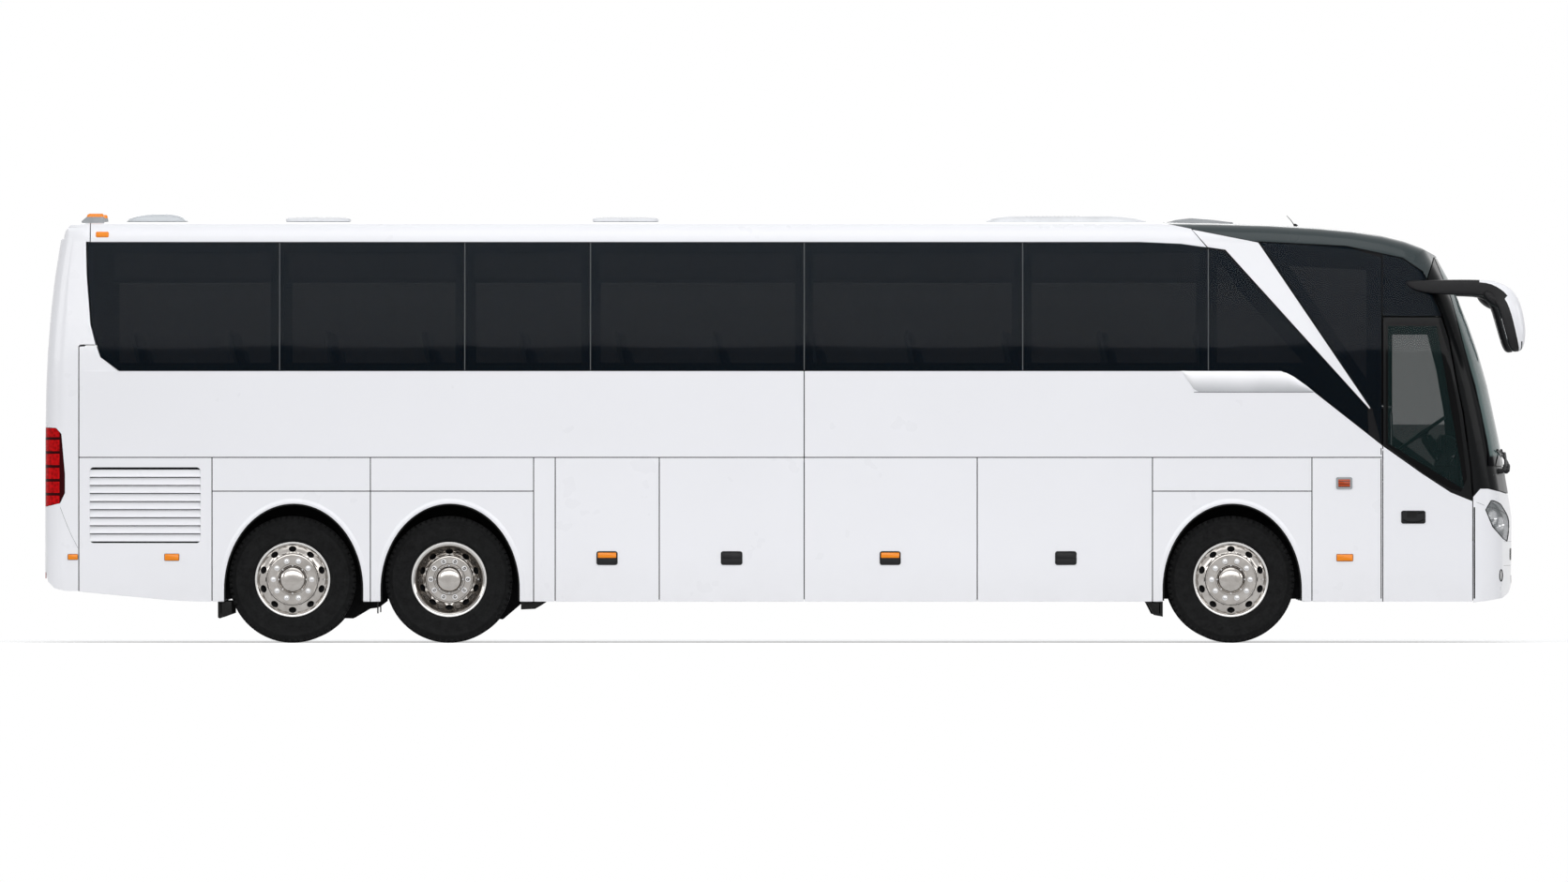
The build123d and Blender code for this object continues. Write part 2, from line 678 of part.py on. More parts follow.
# the driver's side, opposite the door: a white panel below, black frame and window above
driver_window = side_prism(
    [(5180, 2620), (5480, 2620), (5560, 2300), (5620, 1953), (5650, 1500), (5560, 1480), (5180, 1760)])
driver_frame = skin(
    [(5040, 1686)] + shifted(DOOR_SPLIT[1:3], 0, -4)
    + [(5812, 1203), (5812, 1252), (5830, 1256), (5820, 1477), (5756, 1953), (5693, 2259), (5636, 2577),
       (5580, door_top + 10), (5040, door_top + 10)],
    glass_thick + skin_gap, frame_thick, 700, [driver_window])
driver_glass = skin(
    [(5062, 1670), (5391, 1440), (5633, 1282), (5808, 1212), (5796, 1477), (5732, 1953), (5669, 2259),
     (5612, 2577), (5555, door_top), (5062, door_top)], 0, glass_thick, 700)
with BuildPart() as window_frame:
    add(both_sides(side_frame))
    add(nose_frame.part)
    add(driver_frame.mirror(Plane.XZ))
save(window_frame.part, "window_frame")
with BuildPart() as window_glass:
    add(both_sides(*panes))
    add(driver_glass.mirror(Plane.XZ))
    add(tail_glass.part)
save(window_glass.part, "window_glass")

# ---------------------------------------------------------------- mirrors
arm_y = 1215
head_y = 1370
head_half = 118
with BuildPart() as mirror_arm:
    with BuildSketch(Plane.XZ.offset(arm_y - 40)):
        with BuildLine():
            Polyline((5250, 3066), (5640, 3088), (5900, 3076), (6075, 3060), (6070, 2965), (5900, 2950),
                     (5640, 2942), (5320, 2975), close=True)
        make_face()
    extrude(amount=150)
    add(FORM[0], mode=Mode.SUBTRACT)
with BuildPart() as mirror_head:
    with BuildSketch(Plane.XZ.offset(head_y - head_half)):
        with BuildLine():
            FilletPolyline(
                (5890, 3075), (6090, 3060), (6210, 2960), (mirror_tip_x - 12, 2760), (mirror_tip_x, 2560),
                (6250, 2470), (6150, 2462), (6110, 2560), (6040, 2830), (5890, 2952), radius=30, close=True)
        make_face()
    extrude(amount=2 * head_half)
    add(mirror_arm.part, mode=Mode.SUBTRACT)
save(both_sides(mirror_arm.part, mirror_head.part), "mirrors")

# ---------------------------------------------------------------- decks and underframe
with BuildPart() as cabin_floor:
    add(slab(tail_seam, 4640, -half_width + panel_thick, half_width - panel_thick,
             floor_top - floor_thick, floor_top))
    add(slab(tail_x + shell_thick + 1.2, tail_seam, -1000, 1000, floor_top - floor_thick, floor_top))
save(cabin_floor.part, "cabin_floor")

stair_edge = -420
with BuildPart() as platform:
    add(slab(4700, 6150, stair_edge, half_width - 10, platform_top - platform_thick, platform_top))
    add(slab(4640, 4700, -half_width + panel_thick, half_width - panel_thick, platform_top - platform_thick,
             floor_top - floor_thick))
    add(slab(5720, 6150, -half_width, stair_edge, platform_top - platform_thick, platform_top))
    with BuildSketch(Plane.YZ.offset(4700)):
        with BuildLine():
            Polyline((-1225, 350), (-1225, 400), (-960, 400), (-960, 620), (-690, 620), (-690, 840),
                     (stair_edge, 840), (stair_edge, platform_top), (stair_edge + 60, platform_top),
                     (stair_edge + 60, 790),
                     (-640, 790), (-640, 570), (-910, 570), (-910, 350), close=True)
        make_face()
    extrude(amount=1020)
    add(slab(5720, 5760, -1225, stair_edge + 60, 350, platform_top))
    add(FORM[shell_thick + skin_gap], mode=Mode.INTERSECT)
save(platform.part, "driver_platform")

rail_y, rail_half, rail_low, rail_high = 430, 45, 980, 1100
front_rail_low, front_rail_high = 860, platform_top - platform_thick
REAR_MEMBERS = (-5980, -4560, -3500, -2260)
with BuildPart() as underframe:
    add(slab(hold_rear - 40, hold_front + 40, -1180, 1180, hold_floor_top - hold_floor_thick,
             hold_floor_top))
    for bulkhead in (hold_rear - 40, hold_front):
        add(slab(bulkhead, bulkhead + 40, -1180, 1180, hold_floor_top - hold_floor_thick,
                 floor_top - floor_thick))
    for side in (-1, 1):
        inner, outer = side * (rail_y - rail_half), side * (rail_y + rail_half)
        for post_x in hold_seams:
            add(slab(post_x - 30, post_x + 30, side * 1150, side * (half_width - panel_thick),
                     hold_floor_top - hold_floor_thick, floor_top - floor_thick))
        add(slab(-6100, hold_rear, inner, outer, rail_low, rail_high))
        add(slab(hold_front, 4640, inner, outer, front_rail_low, front_rail_high))
        add(slab(4500, 5900, side * 235, side * 325, front_rail_low, front_rail_high))
        for x in REAR_MEMBERS:
            add(slab(x, x + 60, inner, outer, rail_high, floor_top - floor_thick))
    for x in REAR_MEMBERS:
        add(slab(x, x + 60, -rail_y, rail_y, rail_low, rail_high))
    for x in (3160, 4500):
        add(slab(x, x + 60, -rail_y, rail_y, front_rail_low, front_rail_high))
    add(slab(5800, 5860, -300, 300, front_rail_low, front_rail_high))
    # towing lugs at both ends
    add(slab(5860, 6060, -60, 60, 520, 900))
    add(slab(-6180, -5960, -60, 60, 560, 1000))
save(underframe.part, "underframe")


def wheel_housing(axle_x, inner_y):
    """The box over one wheel, open to the side and below, with a mud flap behind the wheel."""
    centre, reach, lid = axle_x + arch_forward, arch_half + 28, arch_top + 20
    with BuildPart() as housing:
        with BuildSketch(Plane.XZ.offset(inner_y)):
            with Locations((centre, (lid + 100) / 2)):
                RectangleRounded(2 * reach + 16, lid - 100 + 16, 320)
                RectangleRounded(2 * reach, lid - 100, 312, mode=Mode.SUBTRACT)
            with Locations((centre, 220)):
                Rectangle(4 * reach, 400, mode=Mode.SUBTRACT)
        extrude(amount=half_width - panel_thick - inner_y)
        add(slab(centre - reach, centre - reach + 8, -1240, -900, 250, 560))
        add(slab(centre - 400, centre + 400, -half_width + panel_thick, -half_width + panel_thick + 20,
                 lid - 10, floor_top - floor_thick))
    return housing.part


HOUSINGS = ((front_axle_x, 560), (drive_axle_x, 520), (tag_axle_x, 620))
save(both_sides(*(wheel_housing(axle_x, inner_y) for axle_x, inner_y in HOUSINGS)), "wheel_housings")

# ---------------------------------------------------------------- axles, knuckles and wheels
hub_z = tyre_radius
with BuildPart() as front_axle:
    add(slab(front_axle_x - 45, front_axle_x + 45, -kingpin_y, kingpin_y, hub_z - 50, hub_z + 50))
    for y in (-kingpin_y, kingpin_y):
        with Locations((front_axle_x, y, hub_z)):
            Cylinder(kingpin_radius + 18, 100)
            Cylinder(kingpin_radius, 220)
with BuildPart() as rear_axles:
    with Locations((drive_axle_x, 0, hub_z)):
        Sphere(190)
        Cylinder(85, 2 * 700, rotation=(90, 0, 0))
        Cylinder(spindle_radius, 2 * (drive_outer_y + 40), rotation=(90, 0, 0))
    with Locations((tag_axle_x, 0, hub_z)):
        Cylinder(75, 2 * 800, rotation=(90, 0, 0))
        Cylinder(spindle_radius, 2 * (single_wheel_y + 60), rotation=(90, 0, 0))

# air springs between each axle and the rails above it: axle, side distance, foot height, seat height
SPRINGS = (
    (drive_axle_x, rail_y, hub_z + 80, rail_low),
    (tag_axle_x, rail_y, hub_z + 70, rail_low),
    (front_axle_x, rail_y, hub_z + 50, front_rail_low),
)
with BuildPart() as air_springs:
    for axle_x, y, foot, seat in SPRINGS:
        for spring_y in (-y, y):
            with BuildSketch(Plane.XY.offset(foot)):
                with Locations((axle_x, spring_y)):
                    Circle(70)
            extrude(amount=60)
            with BuildSketch(Plane.XY.offset(foot + 60)):
                with Locations((axle_x, spring_y)):
                    Circle(125)
            extrude(amount=seat - foot - 60)
    for cut_x, cut_r in ((drive_axle_x, 85), (tag_axle_x, 75)):
        with Locations((cut_x, 0, hub_z)):
            Cylinder(cut_r + skin_gap, 2 * 700, rotation=(90, 0, 0), mode=Mode.SUBTRACT)
save(gather(front_axle.part, rear_axles.part, air_springs.part), "axles")

eye_height = 50
for side, name in ((-1, "knuckle_right"), (1, "knuckle_left")):
    pin_y = side * kingpin_y
    with BuildPart() as knuckle:
        for z in (hub_z - 50 - skin_gap - eye_height / 2, hub_z + 50 + skin_gap + eye_height / 2):
            with Locations((front_axle_x, pin_y, z)):
                Cylinder(kingpin_radius + 28, eye_height)
            with Locations((front_axle_x, pin_y + side * 45, z)):
                Box(80, 70, eye_height)
        with Locations((front_axle_x, pin_y + side * 66, hub_z)):
            Box(110, 26, 200)
        with Locations((front_axle_x, pin_y + side * 130, hub_z)):
            Cylinder(spindle_radius, 120, rotation=(90, 0, 0))
        with Locations((front_axle_x, pin_y, hub_z)):
            Cylinder(kingpin_radius + running_gap, 400, mode=Mode.SUBTRACT)
            Cylinder(kingpin_radius + 18 + 4, 100 + 2 * skin_gap, mode=Mode.SUBTRACT)
    save(knuckle.part, name)


def tyre_section(middle):
    """Half section of a tyre about the Y axis, its mid plane at middle along the axle."""
    profile = (
        (bead_radius + skin_gap, rim_width / 2 - 14.5),
        (rim_flange_radius + 1, rim_width / 2 - 4.5),
        (rim_flange_radius + 8, rim_width / 2 + 5),
        (tyre_radius * 0.8, tyre_width / 2),
        (tyre_radius - 28, tyre_width / 2 - 8),
        (tyre_radius - 4, tyre_width / 2 - 30),
        (tyre_radius, tyre_width / 2 - 60),
    )
    with BuildLine() as outline:
        Polyline(*((r, middle - y) for r, y in profile), *((r, middle + y) for r, y in profile[::-1]),
                 close=True)
    make_face(outline.edges())


def rim_section(middle, face):
    """Half section of a wheel: barrel and flanges about middle, and a disc at face further out."""
    half, out = rim_width / 2, 1 if face > 0 else -1
    with BuildLine() as outline:
        Polyline(
            (bead_radius - 9, middle - half), (rim_flange_radius, middle - half - 6),
            (rim_flange_radius, middle - half + 4), (bead_radius, middle - half + 14),
            (bead_radius, middle + half - 14), (rim_flange_radius, middle + half - 4),
            (rim_flange_radius, middle + half + 6), (bead_radius - 9, middle + half), close=True)
    make_face(outline.edges())
    edge, plane = middle + out * half, middle + face
    with BuildLine() as disc:
        Polyline(
            (bead_radius - 8, edge - out * 26), (bead_radius - 8, edge), (245, plane), (100, plane),
            (100, plane - out * 14), (238, plane - out * 14), (262, edge - out * 12), close=True)
    make_face(disc.edges())


# Wheels: name, axle, side, distance from the middle of the coach, twin
WHEELS = (
    ("front_right", front_axle_x, -1, single_wheel_y, False),
    ("front_left", front_axle_x, 1, single_wheel_y, False),
    ("drive_right", drive_axle_x, -1, drive_outer_y, True),
    ("drive_left", drive_axle_x, 1, drive_outer_y, True),
    ("tag_right", tag_axle_x, -1, single_wheel_y, False),
    ("tag_left", tag_axle_x, 1, single_wheel_y, False),
)
for name, axle_x, side, wheel_y, twin in WHEELS:
    wheel_plane = Plane(origin=(axle_x, 0, hub_z), x_dir=(1, 0, 0), z_dir=(0, 0, 1))
    middles = (wheel_y, wheel_y - twin_spacing) if twin else (wheel_y,)
    with BuildPart() as tyre:
        with BuildSketch(wheel_plane):
            for middle in middles:
                tyre_section(side * middle)
        revolve(axis=Axis((axle_x, 0, hub_z), (0, 1, 0)))
    save(tyre.part, f"tyre_{name}")
    # the hub's two ends, the blind end of its bore, and each wheel's middle and disc
    if twin:
        hub_inner, hub_outer, bore_end = wheel_y - twin_spacing - 5, wheel_y + 60, wheel_y + 45
        discs = ((wheel_y, -twin_spacing / 2), (wheel_y - twin_spacing, twin_spacing / 2))
    else:
        hub_inner, hub_outer, bore_end = wheel_y - 40, wheel_y + 200, wheel_y + 70
        discs = ((wheel_y, rim_width / 2 + 19),)
    with BuildPart() as rim:
        with BuildSketch(wheel_plane):
            for middle, face in discs:
                rim_section(side * middle, side * face)
            with Locations((((spindle_radius + running_gap) + 110) / 2, side * (hub_inner + hub_outer) / 2)):
                Rectangle(110 - spindle_radius - running_gap, hub_outer - hub_inner)
            with Locations(((spindle_radius + 1) / 2, side * (bore_end + hub_outer) / 2)):
                Rectangle(spindle_radius + 1, hub_outer - bore_end)
        revolve(axis=Axis((axle_x, 0, hub_z), (0, 1, 0)))
    save(rim.part, f"rim_{name}")

# ---------------------------------------------------------------- engine, cabin fittings
save(slab(-5900, -4800, -rail_y + rail_half, rail_y - rail_half, 620, rail_high + 180), "engine_block")

seat_pitch = 820
first_seat_x = -5450
seat_rows = 12


def seat_profile(x, floor):
    """Side view of a seat facing forward: pedestal, cushion and reclined back."""
    with BuildLine() as outline:
        Polyline(
            (x + 90, floor), (x + 330, floor), (x + 330, floor + 300), (x + 480, floor + 330),
            (x + 490, floor + 450), (x + 130, floor + 440), (x + 10, floor + 1040), (x - 70, floor + 1060),
            (x - 90, floor + 1010),
            (x + 10, floor + 330), (x + 90, floor + 300), close=True)
    make_face(outline.edges())


with BuildPart() as passenger_seats:
    for row in range(seat_rows):
        with BuildSketch(Plane.XZ.offset(-1130)):
            seat_profile(first_seat_x + row * seat_pitch, floor_top)
        extrude(amount=880)
        with BuildSketch(Plane.XZ.offset(250)):
            seat_profile(first_seat_x + row * seat_pitch, floor_top)
        extrude(amount=880)
save(passenger_seats.part, "passenger_seats")

with BuildPart() as driver_seat:
    with BuildSketch(Plane.XZ.offset(-900)):
        seat_profile(4890, platform_top)
    extrude(amount=520)
save(driver_seat.part, "driver_seat")

wheel_hub = (5420, 640, 1790)
column_lean = 35
with BuildPart() as dashboard:
    with BuildSketch(Plane.XZ.offset(-1120)):
        with BuildLine():
            Polyline((5640, platform_top), (6300, platform_top), (6300, 1560), (5900, 1640), (5600, 1640),
                     (5530, 1500), (5600, 1440), close=True)
        make_face()
    extrude(amount=1460)
    add(FORM[frame_thick], mode=Mode.INTERSECT)
with BuildPart() as column:
    lean = radians(column_lean)
    tilt = Plane(origin=wheel_hub, x_dir=(0, 1, 0), z_dir=(-sin(lean), 0, cos(lean)))
    with BuildSketch(tilt.offset(-40)):
        Circle(35)
    extrude(amount=-330)
with BuildPart() as dash_with_column:
    add(dashboard.part)
    add(column.part)
save(dash_with_column.part, "dashboard")
with BuildPart() as steering_wheel:
    with BuildSketch(tilt.offset(-40 + skin_gap)):
        Circle(55)
    extrude(amount=40)
    with BuildSketch(tilt.offset(-20)):
        for turn in (90, 210, 330):
            with Locations((115 * cos(radians(turn)), 115 * sin(radians(turn)))):
                Rectangle(230, 34, rotation=turn)
    extrude(amount=14)
    with BuildSketch(Plane(origin=tilt.origin - tilt.z_dir * 13, x_dir=tilt.z_dir, z_dir=tilt.y_dir)):
        with Locations((0, 225)):
            Circle(16)
    revolve(axis=Axis(wheel_hub, tilt.z_dir))
save(steering_wheel.part, "steering_wheel")
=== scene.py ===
import json
from math import copysign, cos, hypot, pi, radians, sin, sqrt

import bmesh
import bpy
from mathutils import Matrix, Vector
from mathutils.bvhtree import BVHTree

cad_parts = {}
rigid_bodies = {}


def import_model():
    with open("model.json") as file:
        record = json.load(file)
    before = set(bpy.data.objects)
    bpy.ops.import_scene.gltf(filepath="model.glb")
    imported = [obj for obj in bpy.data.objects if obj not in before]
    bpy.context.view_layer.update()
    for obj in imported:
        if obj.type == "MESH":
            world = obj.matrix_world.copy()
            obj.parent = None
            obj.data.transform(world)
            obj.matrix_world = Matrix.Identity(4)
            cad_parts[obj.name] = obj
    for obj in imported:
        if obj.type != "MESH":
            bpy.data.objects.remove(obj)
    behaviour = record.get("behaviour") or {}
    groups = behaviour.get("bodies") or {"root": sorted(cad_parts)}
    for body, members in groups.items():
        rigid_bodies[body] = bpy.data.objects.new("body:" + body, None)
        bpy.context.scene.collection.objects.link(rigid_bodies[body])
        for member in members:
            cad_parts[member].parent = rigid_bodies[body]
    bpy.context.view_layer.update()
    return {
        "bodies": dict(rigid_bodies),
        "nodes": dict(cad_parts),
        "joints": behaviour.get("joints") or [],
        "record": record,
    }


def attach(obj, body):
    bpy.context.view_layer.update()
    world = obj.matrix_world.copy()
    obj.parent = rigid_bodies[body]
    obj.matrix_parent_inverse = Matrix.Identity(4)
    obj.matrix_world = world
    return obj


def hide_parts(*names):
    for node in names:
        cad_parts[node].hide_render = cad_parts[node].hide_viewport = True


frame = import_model()
nodes = frame["nodes"]
scene = bpy.context.scene
right, left = -1, 1
word = {right: "Right", left: "Left"}
acrossY, upZ = Vector((0, 1, 0)), Vector((0, 0, 1))


# node trees

def put(socket, value):
    if isinstance(value, bpy.types.NodeSocket):
        socket.id_data.links.new(value, socket)
    else:
        socket.default_value = value


def addNode(tree, kind, inputs=None, **settings):
    node = tree.nodes.new(kind)
    for key, value in settings.items():
        setattr(node, key, value)
    for key, value in (inputs or {}).items():
        put(node.inputs[key], value)
    return node


# these find their tree through a socket that they are given
def calculate(operation, *values):
    tree = next(value for value in values if isinstance(value, bpy.types.NodeSocket)).id_data
    values = {0: values[0], 1: 0.0, **dict(enumerate(values))}
    return addNode(tree, "ShaderNodeMath", values, operation=operation).outputs[0]


# the highest or lowest of several values
def combined(operation, values):
    result = values[0]
    for value in values[1:]:
        result = calculate(operation, result, value)
    return result


def lengthOf(first, second):
    squares = [calculate("MULTIPLY", side, side) for side in (first, second)]
    return calculate("SQRT", calculate("ADD", *squares))


def ramp(value, low, high, bottom=0.0, top=1.0):
    inputs = {"Value": value, 1: low, 2: high, 3: bottom, 4: top}
    return addNode(value.id_data, "ShaderNodeMapRange", inputs).outputs[0]


def blendColour(amount, first, second):
    mix = addNode(amount.id_data, "ShaderNodeMix", data_type="RGBA")
    put(mix.inputs[0], amount)
    for socket, colour in ((6, first), (7, second)):
        put(mix.inputs[socket], colour if isinstance(colour, bpy.types.NodeSocket) else (*colour, 1))
    return mix.outputs[2]


def shades(colour, share):
    return [min(1, c * share) for c in colour]


# a material as it is built, on object coordinates
class Look:
    def __init__(self, name, roughness=0.5, metallic=0.0, specular=0.5, coat=0.0, coatRoughness=0.03, alpha=1.0):
        self.finish = bpy.data.materials.new(name)
        self.finish.use_nodes = True
        self.tree = self.finish.node_tree
        self.sockets = self.tree.nodes["Principled BSDF"].inputs
        for key, value in (("Roughness", roughness), ("Metallic", metallic), ("Specular IOR Level", specular),
                           ("Coat Weight", coat), ("Coat Roughness", coatRoughness), ("Alpha", alpha)):
            put(self.sockets[key], value)
        self.place = addNode(self.tree, "ShaderNodeTexCoord").outputs["Object"]
        self.x, self.y, self.z = addNode(self.tree, "ShaderNodeSeparateXYZ", {0: self.place}).outputs

    def texture(self, kind, scale, inputs=None, output="Fac", **settings):
        inputs = {"Vector": self.place, "Scale": scale, **(inputs or {})}
        return addNode(self.tree, "ShaderNodeTex" + kind, inputs, **settings).outputs[output]

    # a number that wanders between low and high over the surface
    def mottle(self, scale, low=0, high=1, detail=3.0):
        return ramp(self.texture("Noise", scale, {"Detail": detail}), 0.3, 0.7, low, high)

    def bump(self, height, strength, distance):
        bump = addNode(self.tree, "ShaderNodeBump", {"Height": height, "Strength": strength, "Distance": distance})
        put(self.sockets["Normal"], bump.outputs[0])

    # colour, a gloss that wanders, and a fine grain in the surface
    def close(self, base, gloss=None, grain=None, detail=2.0):
        put(self.sockets["Base Color"], base)
        if gloss:
            put(self.sockets["Roughness"], self.mottle(*gloss))
        if grain:
            self.bump(self.texture("Noise", grain[0], {"Detail": detail}), *grain[1:])
        return self.finish


# finishes

# moulded or plainly painted: slightly uneven colour and gloss
def moulded(name, colour, roughness=0.5, spread=0.1, cloud=9.0, grainScale=900.0, grain=0.12, specular=0.5):
    look = Look(name, roughness, specular=specular)
    base = blendColour(look.mottle(cloud), shades(colour, 1 - spread), shades(colour, 1 + spread))
    gloss = (cloud * 3, roughness * 0.88, min(1, roughness * 1.12))
    return look.close(base, gloss, (grainScale, grain, 0.0004))


def metal(name, colour, roughness, grain=0.05):
    look = Look(name, roughness, 1.0)
    base = blendColour(look.mottle(14), shades(colour, 0.88), colour)
    return look.close(base, (30, roughness * 0.7, roughness * 1.4), (500, grain, 0.0002))


# gloss coachwork paint under lacquer, with a trace of road film low on the sides
paintLook = {"coat": 0.35, "coatRoughness": 0.08, "specular": 0.3, "filmTop": 0.75, "filmFoot": 0.33,
             "filmColour": (0.4, 0.38, 0.35)}


# below splitLines, a bent line of (x0, z0, x1, z1), the panel has another colour
def painted(name, colour, film=0.0, splitLines=(), below=None, gloss=1.0):
    p = paintLook
    look = Look(name, 0.3, 0.0, p["specular"] * gloss, p["coat"] * gloss, p["coatRoughness"])
    base = blendColour(look.mottle(0.7, 0, 1, 4), shades(colour, 0.985), colour)
    slopes = [((z1 - z0) / (x1 - x0), x0, z0) for x0, z0, x1, z1 in splitLines]
    if slopes:
        line = combined("MAXIMUM", [calculate("MULTIPLY_ADD", look.x, slope, z - slope * x)
                                    for slope, x, z in slopes])
        base = blendColour(calculate("GREATER_THAN", look.z, line), below, base)
    if film:
        low = ramp(look.z, p["filmFoot"], p["filmTop"], film, 0.0)
        base = blendColour(calculate("MULTIPLY", low, look.mottle(5, 0.5, 1.0, 6)), base, p["filmColour"])
    return look.close(base, (3, 0.27, 0.32), (500, 0.02, 0.0002))


# where the painted reflection on the glass fades from sill to head, where the painted horizon line lies, and how
# soft the pane edges are
reflectionFadeAndPaneEdge = {"sill": 2.2, "head": 3.4, "lowTop": 2.9, "lowFoot": 2.72, "edge": 0.004}


# the colour is painted darker towards the sill and lighter towards the head, a painted reflection of the sky; the
# last argument is the alpha of the lower part, under a wandering line that paints a reflected horizon
# zones is a list of (colour, alpha, [edges]); an edge (a, b, c, d) keeps a*X + b*Y + c*Z > d
def glazed(name, tint, alpha, haze=0.03, specular=0.12, zones=(), belowHorizonAlpha=None):
    look, f = Look(name, haze, specular=specular, alpha=alpha), reflectionFadeAndPaneEdge
    # painted reflection: lighter towards the head, darker towards the sill, with a little random wander
    cloud = calculate("ADD", ramp(look.z, f["sill"], f["head"]), look.mottle(0.9, -0.15, 0.15))
    base, clear = blendColour(cloud, shades(tint, 0.6), tint), alpha
    if belowHorizonAlpha:
        # the wandering edge of a painted reflected horizon; the glass is less clear below it
        line = calculate("ADD", look.z, look.mottle(1.6, -0.07, 0.07, 5))
        clear = ramp(line, f["lowFoot"], f["lowTop"], belowHorizonAlpha, alpha)
    for colour, zoneAlpha, edges in zones:
        leans = [addNode(look.tree, "ShaderNodeVectorMath", {0: look.place, 1: edge[:3]}, operation="DOT_PRODUCT")
                 for edge in edges]
        inside = combined("MINIMUM", [ramp(lean.outputs["Value"], edge[3], edge[3] + f["edge"])
                                      for lean, edge in zip(leans, edges)])
        base = blendColour(inside, base, colour)
        if belowHorizonAlpha:
            clear = calculate("ADD", clear, ramp(inside, 0, 1, 0, zoneAlpha - belowHorizonAlpha))
        else:
            clear = ramp(inside, 0, 1, clear, zoneAlpha)
    put(look.sockets["Alpha"], clear)
    return look.close(base, (6, haze * 0.6, haze * 1.6))


# the windscreen: clear in the middle, with the printed black border that hides its bond line
screenBorder = {"halfWidth": 1.165, "foot": 1.575, "head": 3.185, "soft": 0.02, "clearAlpha": 0.8,
                "clear": ((0.115, 0.162, 0.16), (0.15, 0.205, 0.202)), "border": (0.005, 0.005, 0.006)}


def screenGlass():
    look, b = Look("screenGlass", 0.03, specular=0.005), screenBorder
    sides = ramp(calculate("ABSOLUTE", look.y), b["halfWidth"] - b["soft"], b["halfWidth"])
    foot = ramp(look.z, b["foot"], b["foot"] + b["soft"], 1.0, 0.0)
    head = ramp(look.z, b["head"] - b["soft"], b["head"])
    border = calculate("MAXIMUM", sides, calculate("MAXIMUM", foot, head))
    put(look.sockets["Alpha"], ramp(border, 0, 1, b["clearAlpha"], 1.0))
    return look.close(blendColour(border, blendColour(look.mottle(0.8), *b["clear"]), b["border"]), (6, 0.02, 0.05))


# polished wheels: a bright lip, a face painted greyer as shade in its dished recess, and fine rings left by the
# polishing
axles = {"front": 3.773, "drive": -2.849, "tag": -4.174, "centreZ": 0.538}
axleLines = (axles["front"], axles["drive"], axles["tag"])


def wheelMetal():
    look = Look("polished", 0.13, 1.0)
    near = combined("MINIMUM", [calculate("ABSOLUTE", calculate("SUBTRACT", look.x, axleX)) for axleX in axleLines])
    radius = lengthOf(near, calculate("SUBTRACT", look.z, axles["centreZ"]))
    # painted shade: the dished face inside the lip is darker
    face = blendColour(look.mottle(9), (0.33, 0.31, 0.29), (0.45, 0.43, 0.41))
    look.bump(calculate("SINE", calculate("MULTIPLY", radius, 2600)), 0.02, 0.0003)
    return look.close(blendColour(ramp(radius, 0.288, 0.302), face, (0.6, 0.59, 0.58)), (22, 0.1, 0.18))


def tyreFinish():
    look = Look("tyreRubber", 0.7, specular=0.1)
    base = blendColour(look.mottle(18, 0, 1, 5), (0.0035, 0.0036, 0.0038), (0.008, 0.0083, 0.0086))
    return look.close(base, (60, 0.55, 0.8), (420, 0.25, 0.0006), 4)


# the blank side trim: silver paint, painted darker towards its lower edge as shade where its crowned face turns
# downwards
def silverPaint():
    look = Look("satinSilver", 0.34, 0.25, coat=0.2, coatRoughness=0.12)
    # painted shade: darker towards the lower edge
    low = calculate("ADD", ramp(look.z, 2.13, 2.25), look.mottle(2.5, -0.12, 0.12))
    base = blendColour(low, (0.42, 0.43, 0.45), (0.72, 0.72, 0.74))
    return look.close(base, (8, 0.3, 0.38), (1500, 0.02, 0.0001))


# a lamp lens moulded with fine upright optics and crossed by darker bars
def lens(name, colour, barPitch=0.0, barShare=0.2):
    look = Look(name, 0.14, specular=0.2, coat=0.1, coatRoughness=0.04)
    ribs = look.texture("Wave", 45.0, bands_direction="DIAGONAL")
    base = blendColour(ribs, shades(colour, 0.75), colour)
    if barPitch:
        wrapped = calculate("FRACT", calculate("DIVIDE", look.z, barPitch))
        base = blendColour(calculate("LESS_THAN", wrapped, barShare), base, shades(colour, 0.28))
    look.bump(ribs, 0.12, 0.001)
    return look.close(base)


# the tail lamps: small bright cells between darker bars, and a dark edge at the front
tailGlow = {"foot": 1.13, "pitch": 0.118, "bar": 0.2, "frontX": -6.147, "dark": (0.03, 0.002, 0.003),
            "cells": ((0.07, 0.0015, 0.002), (0.6, 0.006, 0.008))}


def tailLampFinish():
    look, t = Look("tailRed", 0.22, specular=0.03), tailGlow
    above = calculate("FRACT", calculate("DIVIDE", calculate("SUBTRACT", look.z, t["foot"]), t["pitch"]))
    bar, front = calculate("LESS_THAN", above, t["bar"]), calculate("GREATER_THAN", look.x, t["frontX"])
    dark = calculate("MAXIMUM", bar, front)
    glow = ramp(look.texture("Voronoi", 34.0, output="Distance"), 0.1, 0.9, 0.35, 1.0)
    return look.close(blendColour(dark, blendColour(glow, *t["cells"]), t["dark"]))


# moquette: a fine two-way weave with scattered flecks
def woven(name, ground, fleck):
    look = Look(name, 0.85)
    put(look.sockets["Sheen Weight"], 0.3)
    put(look.sockets["Sheen Roughness"], 0.4)
    weave = calculate("MULTIPLY", *[look.texture("Wave", 260.0, bands_direction=way) for way in "YZ"])
    spots = calculate("LESS_THAN", look.texture("Voronoi", 45.0, output="Distance"), 0.24)
    look.bump(weave, 0.4, 0.0008)
    return look.close(blendColour(spots, blendColour(weave, shades(ground, 0.6), ground), fleck))


